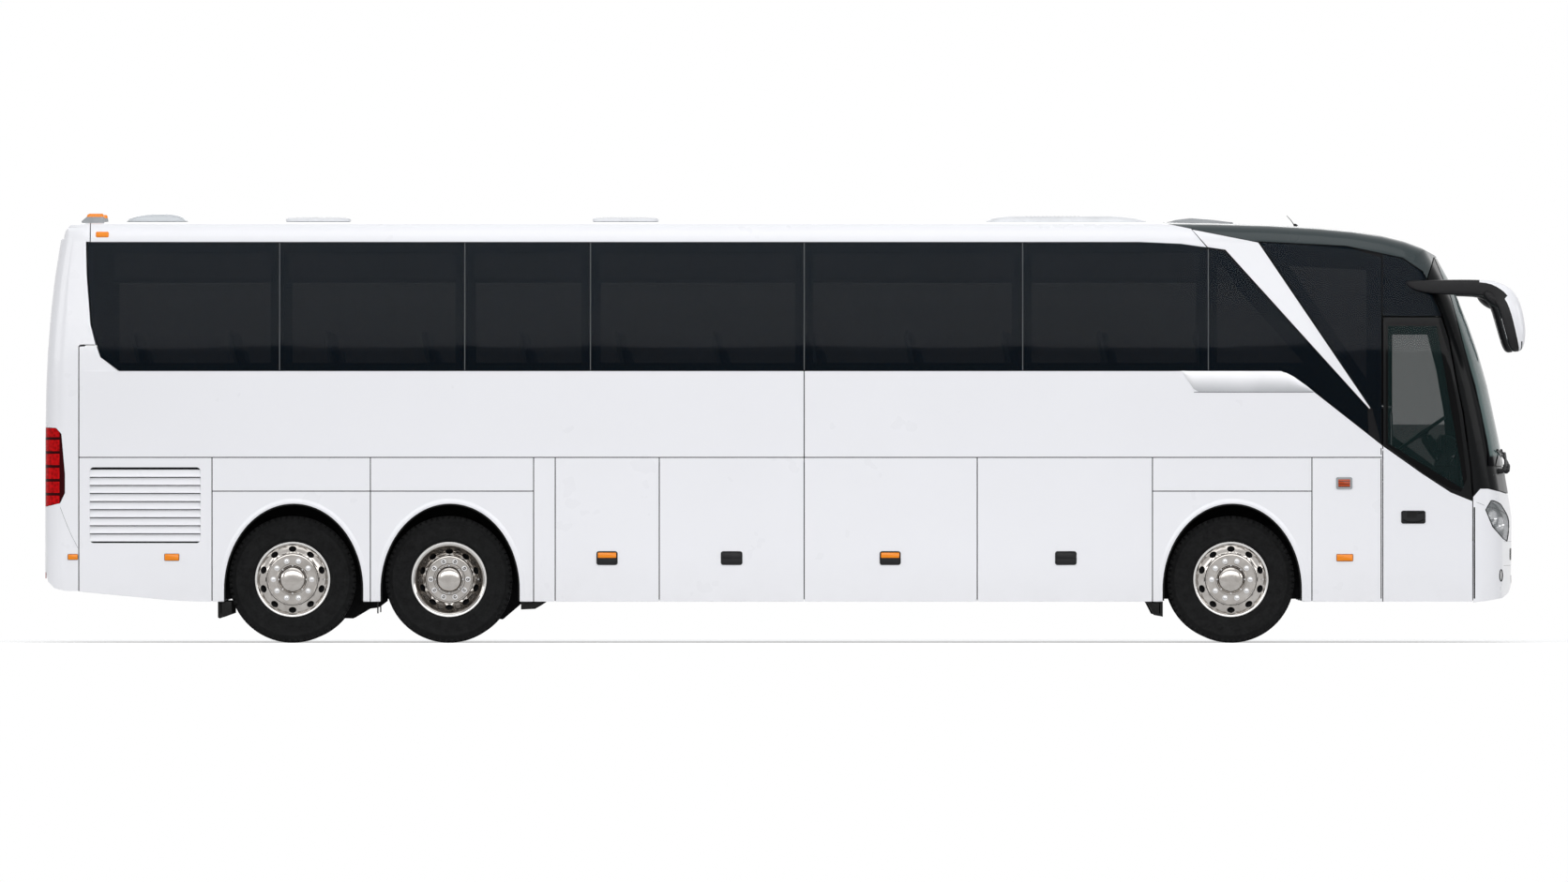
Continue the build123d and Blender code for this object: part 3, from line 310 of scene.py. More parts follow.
coachWhite, edgeBlack = (0.8, 0.8, 0.83), (0.0015, 0.0015, 0.002)
doorSplit = ((5.054, 1.671, 5.391, 1.432), (5.391, 1.432, 5.633, 1.274), (5.633, 1.274, 5.816, 1.201))
lowWhite = painted("lowWhite", coachWhite, 0.1)
cleanWhite = painted("cleanWhite", coachWhite)
slatePaint = painted("slatePaint", (0.022, 0.033, 0.036), gloss=0.7)
blackGloss = painted("blackGloss", (0.004, 0.0045, 0.005), gloss=0.16)
doorPaint = painted("doorPaint", (0.005, 0.0055, 0.006), 0.1, doorSplit, coachWhite, 0.2)
blackFrame = moulded("blackFrame", (0.004, 0.004, 0.005), 0.5, specular=0.1)
# the clear panes beside the driver's seat and in the entry door
driverPane = ((1, 0, 0, 5.1), (0, 1, 0, 0.5), (0, 0, -1, -2.69), (0, 0, 1, 1.85))
doorPane = ((1, 0, 0, 5.101), (0, 0, -1, -2.686), (-1, 0, -0.1702, -5.9741), (0.518, 0, 0.8554, 4.0876))
sideTint = glazed("sideTint", (0.0007, 0.0036, 0.0078), 0.72, 0.03, 0.07,
                  [((0.012, 0.06, 0.054), 0.46, driverPane)], 0.755)
cabTint = glazed("cabTint", edgeBlack, 0.99, 0.03, 0.08, [((0.007, 0.018, 0.018), 0.44, doorPane)])
screenTint = screenGlass()
rubber = moulded("rubber", (0.006, 0.006, 0.006), 0.6, specular=0.15)
sealGrey = moulded("sealGrey", (0.075, 0.08, 0.085), 0.6)
blackPlastic = moulded("blackPlastic", (0.008, 0.008, 0.009), 0.42, specular=0.18)
greyPlastic = moulded("greyPlastic", (0.28, 0.29, 0.3), 0.5)
roofWhite = moulded("roofWhite", (0.62, 0.63, 0.65), 0.4, 0.05)
plateWhite = moulded("plateWhite", (0.62, 0.62, 0.6), 0.4, 0.04)
smokedDome = glazed("smokedDome", (0.62, 0.65, 0.68), 0.72, 0.15, 0.4)
tyreRubber = tyreFinish()
polished = wheelMetal()
brightSteel = metal("brightSteel", (0.6, 0.6, 0.62), 0.16)
satinSilver = silverPaint()
chrome = metal("chrome", (0.66, 0.66, 0.67), 0.08, 0.0)
chassisBlack = moulded("chassisBlack", (0.01, 0.01, 0.011), 0.55, 0.3, specular=0.15)
castIron = moulded("castIron", (0.05, 0.048, 0.046), 0.7, 0.35, 20, 300, 0.5)
engineGrey = moulded("engineGrey", (0.14, 0.15, 0.15), 0.6, 0.3, 20, 300, 0.4)
floorVinyl = moulded("floorVinyl", (0.1, 0.105, 0.115), 0.6, 0.3, 60)
dashGrain = moulded("dashGrain", (0.03, 0.031, 0.034), 0.6, 0.1, 9, 700, 0.5)
trimBeige = moulded("trimBeige", (0.22, 0.21, 0.2), 0.7)
seatCloth = woven("seatCloth", (0.035, 0.042, 0.075), (0.16, 0.06, 0.05))
headCloth = moulded("headCloth", (0.05, 0.052, 0.06), 0.7, 0.15, 20, 600, 0.5)
lampDark = moulded("lampDark", (0.1, 0.105, 0.11), 0.35, 0.25, 30)
redLens = lens("redLens", (0.42, 0.008, 0.01), 0.105, 0.16)
redAmber = lens("redAmber", (0.55, 0.07, 0.01), 0.022, 0.45)
amberLens = lens("amberLens", (0.95, 0.27, 0.008))
clearLens = glazed("clearLens", (0.7, 0.74, 0.76), 0.2, 0.03, 0.6)
tailRed = tailLampFinish()
print("finishes mixed")


# mesh building

def meshFrom(bm, tidy=True):
    if tidy:
        bmesh.ops.recalc_face_normals(bm, faces=bm.faces)
    mesh = bpy.data.meshes.new("unit")
    bm.to_mesh(mesh)
    bm.free()
    return mesh


def addPiece(name, bm, finish, body="coach", stands=(), crease=35):
    bmesh.ops.remove_doubles(bm, verts=bm.verts, dist=0.00005)
    return addMeshPiece(name, meshFrom(bm), finish, body, stands, crease)


def addMeshPiece(name, mesh, finish, body="coach", stands=(), crease=35):
    mesh.name = name
    mesh.shade_smooth()
    mesh.set_sharp_from_angle(angle=radians(crease))
    piece = bpy.data.objects.new(name, mesh)
    scene.collection.objects.link(piece)
    looks = finish if isinstance(finish, (list, tuple)) else [finish]
    chosen = [min(face.material_index, len(looks) - 1) for face in mesh.polygons]
    mesh.materials.clear()
    for one in looks:
        mesh.materials.append(one)
    mesh.polygons.foreach_set("material_index", chosen)
    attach(piece, body)
    if stands:
        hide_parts(*stands)
    return piece


def joinMeshes(meshes):
    bm = bmesh.new()
    for mesh in meshes:
        bm.from_mesh(mesh)
    return meshFrom(bm, False)


def hosted(mesh):
    host = bpy.data.objects.new("host", mesh)
    scene.collection.objects.link(host)
    return host


def evaluated(host):
    return bpy.data.meshes.new_from_object(host.evaluated_get(bpy.context.evaluated_depsgraph_get()))


# runs a mesh through modifiers and returns the plain result
def shaped(mesh, *steps):
    host = hosted(mesh)
    for kind, settings in steps:
        step = host.modifiers.new(kind, kind)
        for key, value in settings.items():
            setattr(step, key, value)
    made = evaluated(host)
    bpy.data.objects.remove(host)
    return made


# a node's triangles with their doubles merged; keep(normal, middle) picks the faces that stay
def skinFaces(nodeName, merge=0.00002, keep=None):
    bm = bmesh.new()
    bm.from_mesh(nodes[nodeName].data)
    bmesh.ops.remove_doubles(bm, verts=bm.verts, dist=merge)
    if keep:
        bm.normal_update()
        spare = [face for face in bm.faces if not keep(face.normal, face.calc_center_median())]
        bmesh.ops.delete(bm, geom=spare, context="FACES")
        bm.normal_update()
    return bm


# a copy of a node's mesh with other solids cut out of it
def carved(nodeName, *cutters):
    mesh = meshFrom(skinFaces(nodeName), False)
    for cutter in cutters:
        tool = hosted(cutter)
        mesh = shaped(mesh, ("BOOLEAN", {"operation": "DIFFERENCE", "solver": "EXACT", "object": tool}))
        bpy.data.objects.remove(tool)
    return mesh


# the outer skin of a node, sunk by depth and given a thickness inwards
def skinOf(nodeName, keep, depth, thickness):
    bm = skinFaces(nodeName, keep=keep)
    for vert in bm.verts:
        vert.co -= vert.normal * depth
    return shaped(meshFrom(bm, False), ("SOLIDIFY", {"thickness": thickness, "offset": -1.0}))


# a round bead along the free edge of part of a node's skin
def addEdgeBead(bm, nodeName, keep, radius):
    skin = skinFaces(nodeName, 0.0002, keep)
    skin.edges.index_update()
    free = {edge for edge in skin.edges if edge.is_boundary}
    while free:
        edge = min(free, key=lambda one: one.index)
        free.discard(edge)
        path = [edge.verts[0], edge.verts[1]]
        while path[-1] is not path[0]:
            ahead = [e for e in path[-1].link_edges if e in free]
            if not ahead:
                break
            free.discard(ahead[0])
            path.append(ahead[0].other_vert(path[-1]))
        if len(path) > 8 and path[-1] is path[0]:
            addBar(bm, [vert.co.copy() for vert in path[:-1]], radius, 8, loop=True)
    skin.free()


searchTrees = {}


# where a ray first meets these nodes, and which way the surface faces there
def meet(names, start, heading):
    best, heading = None, Vector(heading)
    for name in names:
        if name not in searchTrees:
            mesh = nodes[name].data
            corners = [v.co.copy() for v in mesh.vertices]
            searchTrees[name] = BVHTree.FromPolygons(corners, [tuple(p.vertices) for p in mesh.polygons])
        spot, normal, _, reach = searchTrees[name].ray_cast(Vector(start), heading)
        if spot and (best is None or reach < best[1]):
            best = (spot, reach, normal if normal.dot(heading) < 0 else -normal)
    return (best[0], best[2]) if best else (None, None)


def touch(names, start, heading):
    return meet(names, start, heading)[0]


def sideTouch(name, side, x, z):
    return touch([name], (x, side * 3, z), (0, -side, 0))


def frontTouch(name, y, z):
    return touch([name], (8, y, z), (-1, 0, 0))


# cosines and sines evenly round a circle
def circle(count):
    return [(cos(a), sin(a)) for a in (2 * pi * k / count for k in range(count))]


def roundedRect(cx, cz, width, height, radius, steps=5):
    points = []
    for sx, sz, start in ((1, 1, 0), (-1, 1, 90), (-1, -1, 180), (1, -1, 270)):
        for k in range(steps + 1):
            turn = radians(start + 90 * k / steps)
            points.append((cx + sx * (width / 2 - radius) + radius * cos(turn),
                           cz + sz * (height / 2 - radius) + radius * sin(turn)))
    return points


def boxOutline(x0, x1, z0, z1, radius, pull=0.0, steps=4):
    return roundedRect((x0 + x1) / 2, (z0 + z1) / 2, x1 - x0 - 2 * pull, z1 - z0 - 2 * pull,
                       max(radius - pull, 0.002), steps)


def addBlock(bm, low, high, soften=0.0, segments=2):
    made = bmesh.ops.create_cube(bm, size=1.0)
    bmesh.ops.scale(bm, vec=[abs(high[i] - low[i]) for i in range(3)], verts=made["verts"])
    bmesh.ops.translate(bm, vec=[(high[i] + low[i]) / 2 for i in range(3)], verts=made["verts"])
    if soften:
        edges = list(dict.fromkeys(e for v in made["verts"] for e in v.link_edges))
        bmesh.ops.bevel(bm, geom=edges, offset=soften, segments=segments, profile=0.5, affect="EDGES")


# joins rings of equal length, each a list of points, into a closed skin
def addLoft(bm, rings, look=0, loop=False):
    made = [[bm.verts.new(p) for p in ring] for ring in rings]
    count = len(rings[0])
    for first, second in list(zip(made, made[1:])) + ([(made[-1], made[0])] if loop else []):
        for k in range(count):
            j = (k + 1) % count
            bm.faces.new((first[k], first[j], second[j], second[k])).material_index = look
    if not loop:
        bm.faces.new(made[0][::-1]).material_index = look
        bm.faces.new(made[-1]).material_index = look


def placed(outline, depth, axis):
    if axis == "X":
        return [(depth, a, b) for a, b in outline]
    return [(a, depth, b) for a, b in outline]


# a plate with an (x, z) outline between two depths, its outer edge rounded over
def addPlate(bm, outline, yInner, yOuter, soften=0.0, look=0, axis="Y"):
    cx = sum(x for x, z in outline) / len(outline)
    cz = sum(z for x, z in outline) / len(outline)
    reach = max(max(abs(x - cx), abs(z - cz)) for x, z in outline)
    out = 1 if yOuter > yInner else -1
    levels = [(yInner, 0.0)]
    levels += [(yOuter - out * soften * (1 - sin(a)), soften * (1 - cos(a)))
               for a in (0, pi / 4, pi / 2)] if soften else [(yOuter, 0.0)]
    rings = []
    for depth, pull in levels:
        shrink = 1 - pull / reach
        rings.append(placed([(cx + (x - cx) * shrink, cz + (z - cz) * shrink) for x, z in outline], depth, axis))
    addLoft(bm, rings, look)


# a flat rounded frame round an opening
def addBezel(bm, outer, inner, yInner, yOuter):
    addLoft(bm, [placed(outer, yInner, "Y"), placed(outer, yOuter, "Y"), placed(inner, yOuter, "Y"),
                 placed(inner, yInner, "Y")], loop=True)


# profile is (radius, offset along Y); side turns the offset to the right or left
def addLathe(bm, profile, centre, steps=64, side=1, closed=False, look=0):
    rings = []
    for radius, offset in profile:
        turns = [2 * pi * k / steps for k in range(steps if radius > 0.0001 else 1)]
        rings.append([bm.verts.new((centre[0] + radius * cos(turn), centre[1] + side * offset,
                                    centre[2] + radius * sin(turn))) for turn in turns])
    for first, second in list(zip(rings, rings[1:])) + ([(rings[-1], rings[0])] if closed else []):
        for k in range(steps):
            j = (k + 1) % steps
            unique = list(dict.fromkeys((first[k % len(first)], first[j % len(first)],
                                         second[j % len(second)], second[k % len(second)])))
            if len(unique) > 2:
                bm.faces.new(unique).material_index = look


# a bar along a list of points, round or flattened; radius may be one number for each point
def addBar(bm, points, radius, sides=12, look=0, flat=1.0, loop=False):
    points = [Vector(p) for p in points if p is not None]
    rings = []
    for i, point in enumerate(points):
        if loop:
            ahead = (points[(i + 1) % len(points)] - points[i - 1]).normalized()
        else:
            ahead = (points[min(i + 1, len(points) - 1)] - points[max(i - 1, 0)]).normalized()
        across = ahead.cross(upZ)
        if across.length < 0.01:
            across = ahead.cross(Vector((1, 0, 0)))
        across.normalize()
        over = across.cross(ahead).normalized()
        size = radius[i] if isinstance(radius, (list, tuple)) else radius
        rings.append([point + size * (across * c + over * s * flat) for c, s in circle(sides)])
    addLoft(bm, rings, look, loop=loop)


# points on a smooth curve through a few guides
def curved(guides, steps=6):
    guides = [Vector(g) for g in guides]
    ends = [guides[0] * 2 - guides[1]] + guides + [guides[-1] * 2 - guides[-2]]
    points = []
    for a, b, c, d in zip(ends, ends[1:], ends[2:], ends[3:]):
        for k in range(steps):
            t = k / steps
            points.append(0.5 * ((2 * b) + (c - a) * t + (2 * a - 5 * b + 4 * c - d) * t ** 2
                                 + (3 * b - a - 3 * c + d) * t ** 3))
    return points + [guides[-1]]


# a thin pad that lies on whatever a grid of rays meets: box is (u0, u1, v0, v1) along across and up
def addDraped(bm, name, across, box, heading, lift, sink=0.004, nu=12, nv=4, rounding=0.0):
    heading, (u0, u1, v0, v1) = Vector(heading), box
    top, bottom = [], []
    for i in range(nu + 1):
        rowTop, rowBottom = [], []
        for j in range(nv + 1):
            u, v = u0 + (u1 - u0) * i / nu, v0 + (v1 - v0) * j / nv
            if i in (0, nu) and j in (0, nv) and rounding:  # the corners are pulled in
                v += rounding * (1 if j == 0 else -1)
            spot = touch([name], Vector(across) * u + upZ * v - heading * 9, heading)
            edge = i in (0, nu) or j in (0, nv)
            rowTop.append(bm.verts.new(spot - heading * (lift * (0.35 if edge else 1.0))))
            rowBottom.append(bm.verts.new(spot + heading * sink))
        top.append(rowTop)
        bottom.append(rowBottom)
    for i in range(nu):
        for j in range(nv):
            bm.faces.new((top[i][j], top[i + 1][j], top[i + 1][j + 1], top[i][j + 1]))
            bm.faces.new((bottom[i][j], bottom[i][j + 1], bottom[i + 1][j + 1], bottom[i + 1][j]))
    rim = [(i, 0) for i in range(nu)] + [(nu, j) for j in range(nv)]
    rim += [(i, nv) for i in range(nu, 0, -1)] + [(0, j) for j in range(nv, 0, -1)]
    for (a, b), (c, d) in zip(rim, rim[1:] + rim[:1]):
        bm.faces.new((top[a][b], bottom[a][b], bottom[c][d], top[c][d]))


# geometry node trees for what repeats

def newTree(name, **sockets):
    tree = bpy.data.node_groups.new(name, "GeometryNodeTree")
    tree.interface.new_socket("Geometry", in_out="INPUT", socket_type="NodeSocketGeometry")
    for label, kind in sockets.items():
        tree.interface.new_socket(label, in_out="INPUT", socket_type="NodeSocket" + kind)
    tree.interface.new_socket("Geometry", in_out="OUTPUT", socket_type="NodeSocketGeometry")
    return tree, addNode(tree, "NodeGroupInput").outputs, addNode(tree, "NodeGroupOutput")


def closeTree(tree, points, start, end, turn=None):
    unit = addNode(tree, "GeometryNodeObjectInfo", {"Object": start["Unit"]})
    copies = addNode(tree, "GeometryNodeInstanceOnPoints", {"Points": points, "Instance": unit.outputs["Geometry"]})
    if turn:
        tree.links.new(turn, copies.inputs["Rotation"])
    real = addNode(tree, "GeometryNodeRealizeInstances", {0: copies.outputs[0]})
    done = addNode(tree, "GeometryNodeSetMaterial", {"Geometry": real.outputs[0], "Material": start["Finish"]})
    tree.links.new(done.outputs[0], end.inputs[0])


# copies of a unit round a circle in XY; the unit's X points outwards
def makeRingTree():
    tree, start, end = newTree("ringOfCopies", Unit="Object", Copies="Int", Radius="Float", Finish="Material")
    ring = addNode(tree, "GeometryNodeMeshCircle", {"Vertices": start["Copies"], "Radius": start["Radius"]})
    step = calculate("DIVIDE", 2 * pi, start["Copies"])
    angle = calculate("MULTIPLY", addNode(tree, "GeometryNodeInputIndex").outputs[0], step)
    euler = addNode(tree, "ShaderNodeCombineXYZ", {"Z": angle})
    turn = addNode(tree, "FunctionNodeEulerToRotation", {0: euler.outputs[0]})
    closeTree(tree, ring.outputs[0], start, end, turn.outputs[0])
    return tree


# copies of a unit in a straight row from Start, one every Step
def makeRowTree():
    tree, start, end = newTree("rowOfCopies", Unit="Object", Copies="Int", Start="Vector", Step="Vector",
                               Finish="Material")
    row = addNode(tree, "GeometryNodeMeshLine", {
        "Count": start["Copies"], "Start Location": start["Start"], "Offset": start["Step"]}, mode="OFFSET")
    closeTree(tree, row.outputs[0], start, end)
    return tree


# joins loose triangles and shades curved faces smooth up to the angle Crease
def makeSmoothTree():
    tree, start, end = newTree("smoothPanel", Crease="Float")
    plain = addNode(tree, "GeometryNodeRemoveAttribute", {"Geometry": start[0], "Name": "custom_normal"})
    joined = addNode(tree, "GeometryNodeMergeByDistance", {"Geometry": plain.outputs[0], "Distance": 0.00005})
    soft = addNode(tree, "GeometryNodeSetShadeSmooth", {"Geometry": joined.outputs[0], "Shade Smooth": True})
    angle = addNode(tree, "GeometryNodeInputMeshEdgeAngle")
    sharp = addNode(tree, "FunctionNodeCompare", {0: angle.outputs[0], 1: start["Crease"]},
                    operation="GREATER_THAN")
    done = addNode(tree, "GeometryNodeSetShadeSmooth", {
        "Geometry": soft.outputs[0], "Selection": sharp.outputs[0], "Shade Smooth": False}, domain="EDGE")
    tree.links.new(done.outputs[0], end.inputs[0])
    return tree


ringTree, rowTree, smoothTree = makeRingTree(), makeRowTree(), makeSmoothTree()


def setInputs(modifier, values):
    for item in modifier.node_group.interface.items_tree:
        if item.in_out == "INPUT" and item.name in values:
            modifier[item.identifier] = values[item.name]


# runs a copies tree and returns the plain mesh, moved by place
def repeat(tree, unitMesh, finish, place=None, **values):
    unit, host = hosted(unitMesh), hosted(bpy.data.meshes.new("host"))
    copies = host.modifiers.new("copies", "NODES")
    copies.node_group = tree
    setInputs(copies, {"Unit": unit, "Finish": finish, **values})
    bpy.context.view_layer.update()
    made = evaluated(host)
    for one in (host, unit):
        bpy.data.objects.remove(one)
    if place:
        made.transform(place)
        if place.determinant() < 0:
            made.flip_normals()
    return made


# turned axes, with the place of the origin
def axesAt(rows, origin=(0, 0, 0)):
    return Matrix.Translation(origin) @ Matrix(rows).to_4x4()


# the panels and structure that keep their own shape

panelFinish = {
    lowWhite: "side_panels rear_cap front_mask engine_door radiator_door_right radiator_door_left",
    cleanWhite: "belt_panels white_blades roof_skin mirrors", blackFrame: "window_frame", sideTint: "window_glass",
    slatePaint: "front_roof_cap", roofWhite: "roof_units roof_hatch_rear roof_hatch_front", tailRed: "tail_lamps",
    clearLens: "headlamps", screenTint: "windscreen", blackGloss: "nose_trim",
    floorVinyl: "cabin_floor driver_platform", chassisBlack: "underframe entry_door_arm",
    blackPlastic: "wheel_housings steering_wheel", castIron: "axles knuckle_right knuckle_left",
    engineGrey: "engine_block", seatCloth: "passenger_seats driver_seat", dashGrain: "dashboard",
    doorPaint: "entry_door", cabTint: "entry_door_glass",
}
finishOf = {name: finish for finish, names in panelFinish.items() for name in names.split()}
roundedEdges = {
    "side_panels": 0.0022, "belt_panels": 0.0022, "white_blades": 0.006, "front_mask": 0.002, "entry_door": 0.0022,
    "engine_door": 0.0022, "rear_cap": 0.002, "front_roof_cap": 0.002, "dashboard": 0.012,
}
bevelled = {"segments": 2, "limit_method": "ANGLE", "angle_limit": radians(40)}


def dressNode(name, node):
    luggage = name.startswith("luggage")
    spare = lowWhite if luggage else tyreRubber if name.startswith("tyre") else polished
    node.data.materials.clear()
    node.data.materials.append(finishOf.get(name, spare))
    smooth = node.modifiers.new("smoothPanel", "NODES")
    smooth.node_group = smoothTree
    setInputs(smooth, {"Crease": radians(24)})
    width = 0.0022 if luggage else roundedEdges.get(name)
    if width:
        rounding = node.modifiers.new("rounding", "BEVEL")
        for key, value in {"width": width, "harden_normals": True, **bevelled}.items():
            setattr(rounding, key, value)


for nodeName, node in nodes.items():
    dressNode(nodeName, node)
print("panels finished")


# wheels: tyres with cut tread blocks, forged wheels with hand holes, nuts and domed hub caps

wheelSizes = {
    "tyreRadius": 0.538, "rimHalf": 0.131, "blocks": 66, "twinSpacing": 0.345, "nuts": 10, "studs": 8, "holes": 10,
    "holeAcross": 0.033, "holeDepth": 0.014, "cap": 0.109,
}
# holes: inner, middle and outer radius of the ring of hand holes, and how far each reaches; hubEnd: the cap's top
wheelKinds = {
    "front": {"holes": (0.222, 0.258, 0.291), "deep": 0.025, "nuts": 0.163, "hubEnd": 0.198, "face": 0.152},
    "drive": {"holes": (0.205, 0.236, 0.264), "deep": 0.0215, "nuts": 0.157, "hubEnd": 0.058, "face": -0.1585},
}
wheelPlaces = {
    f"{axle}_{word[side].lower()}": (axles[axle], side, y, axle == "drive")
    for axle, y in (("front", 1.04), ("drive", 1.055), ("tag", 1.04)) for side in (right, left)}
treadRows = ((-0.112, 0.036, 0.8), (-0.058, 0.046, 0.88), (0.0, 0.046, 0.88), (0.058, 0.046, 0.88),
             (0.112, 0.036, 0.8))
# from one bead to the middle of the tread, and the inside back again
tyreHalf = [
    (0.2884, 0.1165), (0.3, 0.1205), (0.319, 0.1265), (0.326, 0.137), (0.34, 0.142),
    (0.344, 0.1448), (0.35, 0.145), (0.356, 0.144), (0.39, 0.1485), (0.43, 0.15),
    (0.47, 0.1475), (0.474, 0.149), (0.48, 0.1485), (0.484, 0.1455), (0.505, 0.14),
    (0.518, 0.134), (0.523, 0.122), (0.524, 0.1), (0.524, 0.0)]
tyreInside = [(0.3, -0.1), (0.47, -0.12), (0.5, 0.0), (0.47, 0.12), (0.3, 0.1)]


def blockUnit(width, length, bottom, top, soften=0.0015):
    bm = bmesh.new()
    addBlock(bm, (bottom, -length / 2, -width / 2), (top, length / 2, width / 2), soften, 1)
    return meshFrom(bm)


# turns a ring in XY so that its axis points outwards along Y
def outwards(centre, side):
    return axesAt(((1, 0, 0), (0, 0, side), (0, 1, 0)), centre)


def wheelCentres(wheel):
    x, side, y, twin = wheelPlaces[wheel]
    depths = (y, y - wheelSizes["twinSpacing"]) if twin else (y,)
    return [(x, side * depth, axles["centreZ"]) for depth in depths]


def pieceName(start, wheel):
    return start + wheel.title().replace("_", "")


def addTyre(wheel):
    side, count, radius = wheelPlaces[wheel][1], wheelSizes["blocks"], wheelSizes["tyreRadius"]
    pitch = 2 * pi * radius / count
    meshes = []
    for centre in wheelCentres(wheel):
        bm = bmesh.new()
        addLathe(bm, tyreHalf + [(r, -y) for r, y in tyreHalf[-2::-1]] + tyreInside, centre, 96, side, closed=True)
        meshes.append(meshFrom(bm))
        rows = [(offset, blockUnit(width, pitch * share, -0.02, 0.0), radius - 0.0007, pi / count * (k % 2))
                for k, (offset, width, share) in enumerate(treadRows)]
        rows += [(offset, blockUnit(0.01, pitch * 0.45, -0.032, -0.012), radius, 0.0) for offset in (-0.134, 0.134)]
        for offset, unit, reach, stagger in rows:
            place = outwards(centre, side) @ Matrix.Translation((0, 0, offset)) @ Matrix.Rotation(stagger, 4, "Z")
            meshes.append(repeat(ringTree, unit, tyreRubber, place, Copies=count, Radius=reach))
    addMeshPiece(pieceName("tyre", wheel), joinMeshes(meshes), tyreRubber, f"wheel_{wheel}",
                 (f"tyre_{wheel}",))


# the disc between two radii with a ring of oval hand holes; height(r) gives its dish
def addHoledDisc(bm, centre, side, height, radii, deep):
    inner, ring, outer = radii
    count, across = wheelSizes["holes"], wheelSizes["holeAcross"]
    halfTurn, rays = pi / count, 24

    def spot(r, turn, back=0.0):
        return bm.verts.new((centre[0] + r * cos(turn), centre[1] + side * (height(r) - back),
                             centre[2] + r * sin(turn)))

    for n in range(count):
        middle = 2 * pi * n / count + pi / 2
        frame, loop, wall = [], [], []
        for k in range(rays):
            a = 2 * pi * k / rays + pi / 4
            reach = 1 / max(abs(cos(a)), abs(sin(a)))
            u, v = cos(a) * reach, sin(a) * reach  # the sector's edge as a square
            r = ring + (outer - ring) * u if u > 0 else ring + (ring - inner) * u
            frame.append(spot(r, middle + halfTurn * v))
            holeRadius = ring + deep * cos(a)
            holeTurn = middle + across * sin(a) / ring
            loop.append(spot(holeRadius, holeTurn))
            wall.append(spot(holeRadius, holeTurn, wheelSizes["holeDepth"]))
        for k in range(rays):
            j = (k + 1) % rays
            bm.faces.new((frame[k], frame[j], loop[j], loop[k]))
            bm.faces.new((loop[k], loop[j], wall[j], wall[k]))


# a six-sided nut on its washer, with the end of the stud
def nutUnit(height):
    bm = bmesh.new()
    steps = ((6, 0.019, 0.019, 0, height), (16, 0.0235, 0.023, -0.001, 0.004),
             (12, 0.015, 0.012, height, height + 0.012), (12, 0.012, 0.005, height + 0.012, height + 0.017))
    for sides, r0, r1, z0, z1 in steps:
        addLoft(bm, [[(r * c, r * s, z) for c, s in circle(sides)] for r, z in ((r0, z0), (r1, z1))])
    return meshFrom(bm)


# the rim's section as radius and distance from its inner or outer edge, told by the sign
rimSection = (
    (0.279, -1, 0), (0.281, -1, -0.004), (0.31, -1, -0.008), (0.318, -1, -0.006), (0.318, -1, 0.002),
    (0.31, -1, 0.005), (0.29, -1, 0.01), (0.2875, -1, 0.016), (0.2875, 1, -0.016), (0.29, 1, -0.01),
    (0.31, 1, -0.005), (0.316, 1, -0.003), (0.3182, 1, 0.001), (0.3175, 1, 0.0055), (0.312, 1, 0.006),
    (0.306, 1, 0.005), (0.301, 1, 0.002), (0.2975, 1, -0.002), (0.293, 1, -0.006), (0.286, 1, -0.011),
    (0.28, 1, -0.02), (0.276, 1, -0.05), (0.272, 1, -0.056), (0.272, 0, 0), (0.276, -1, 0.02))
# the hub cap's section as radius and height past the cap's own
capDome = ((0.009, -0.046), (0.006, -0.04), (0.001, -0.038), (-0.001, -0.034), (-0.004, -0.026), (-0.012, -0.017),
           (-0.03, -0.008), (-0.055, -0.003), (-0.085, -0.0005))


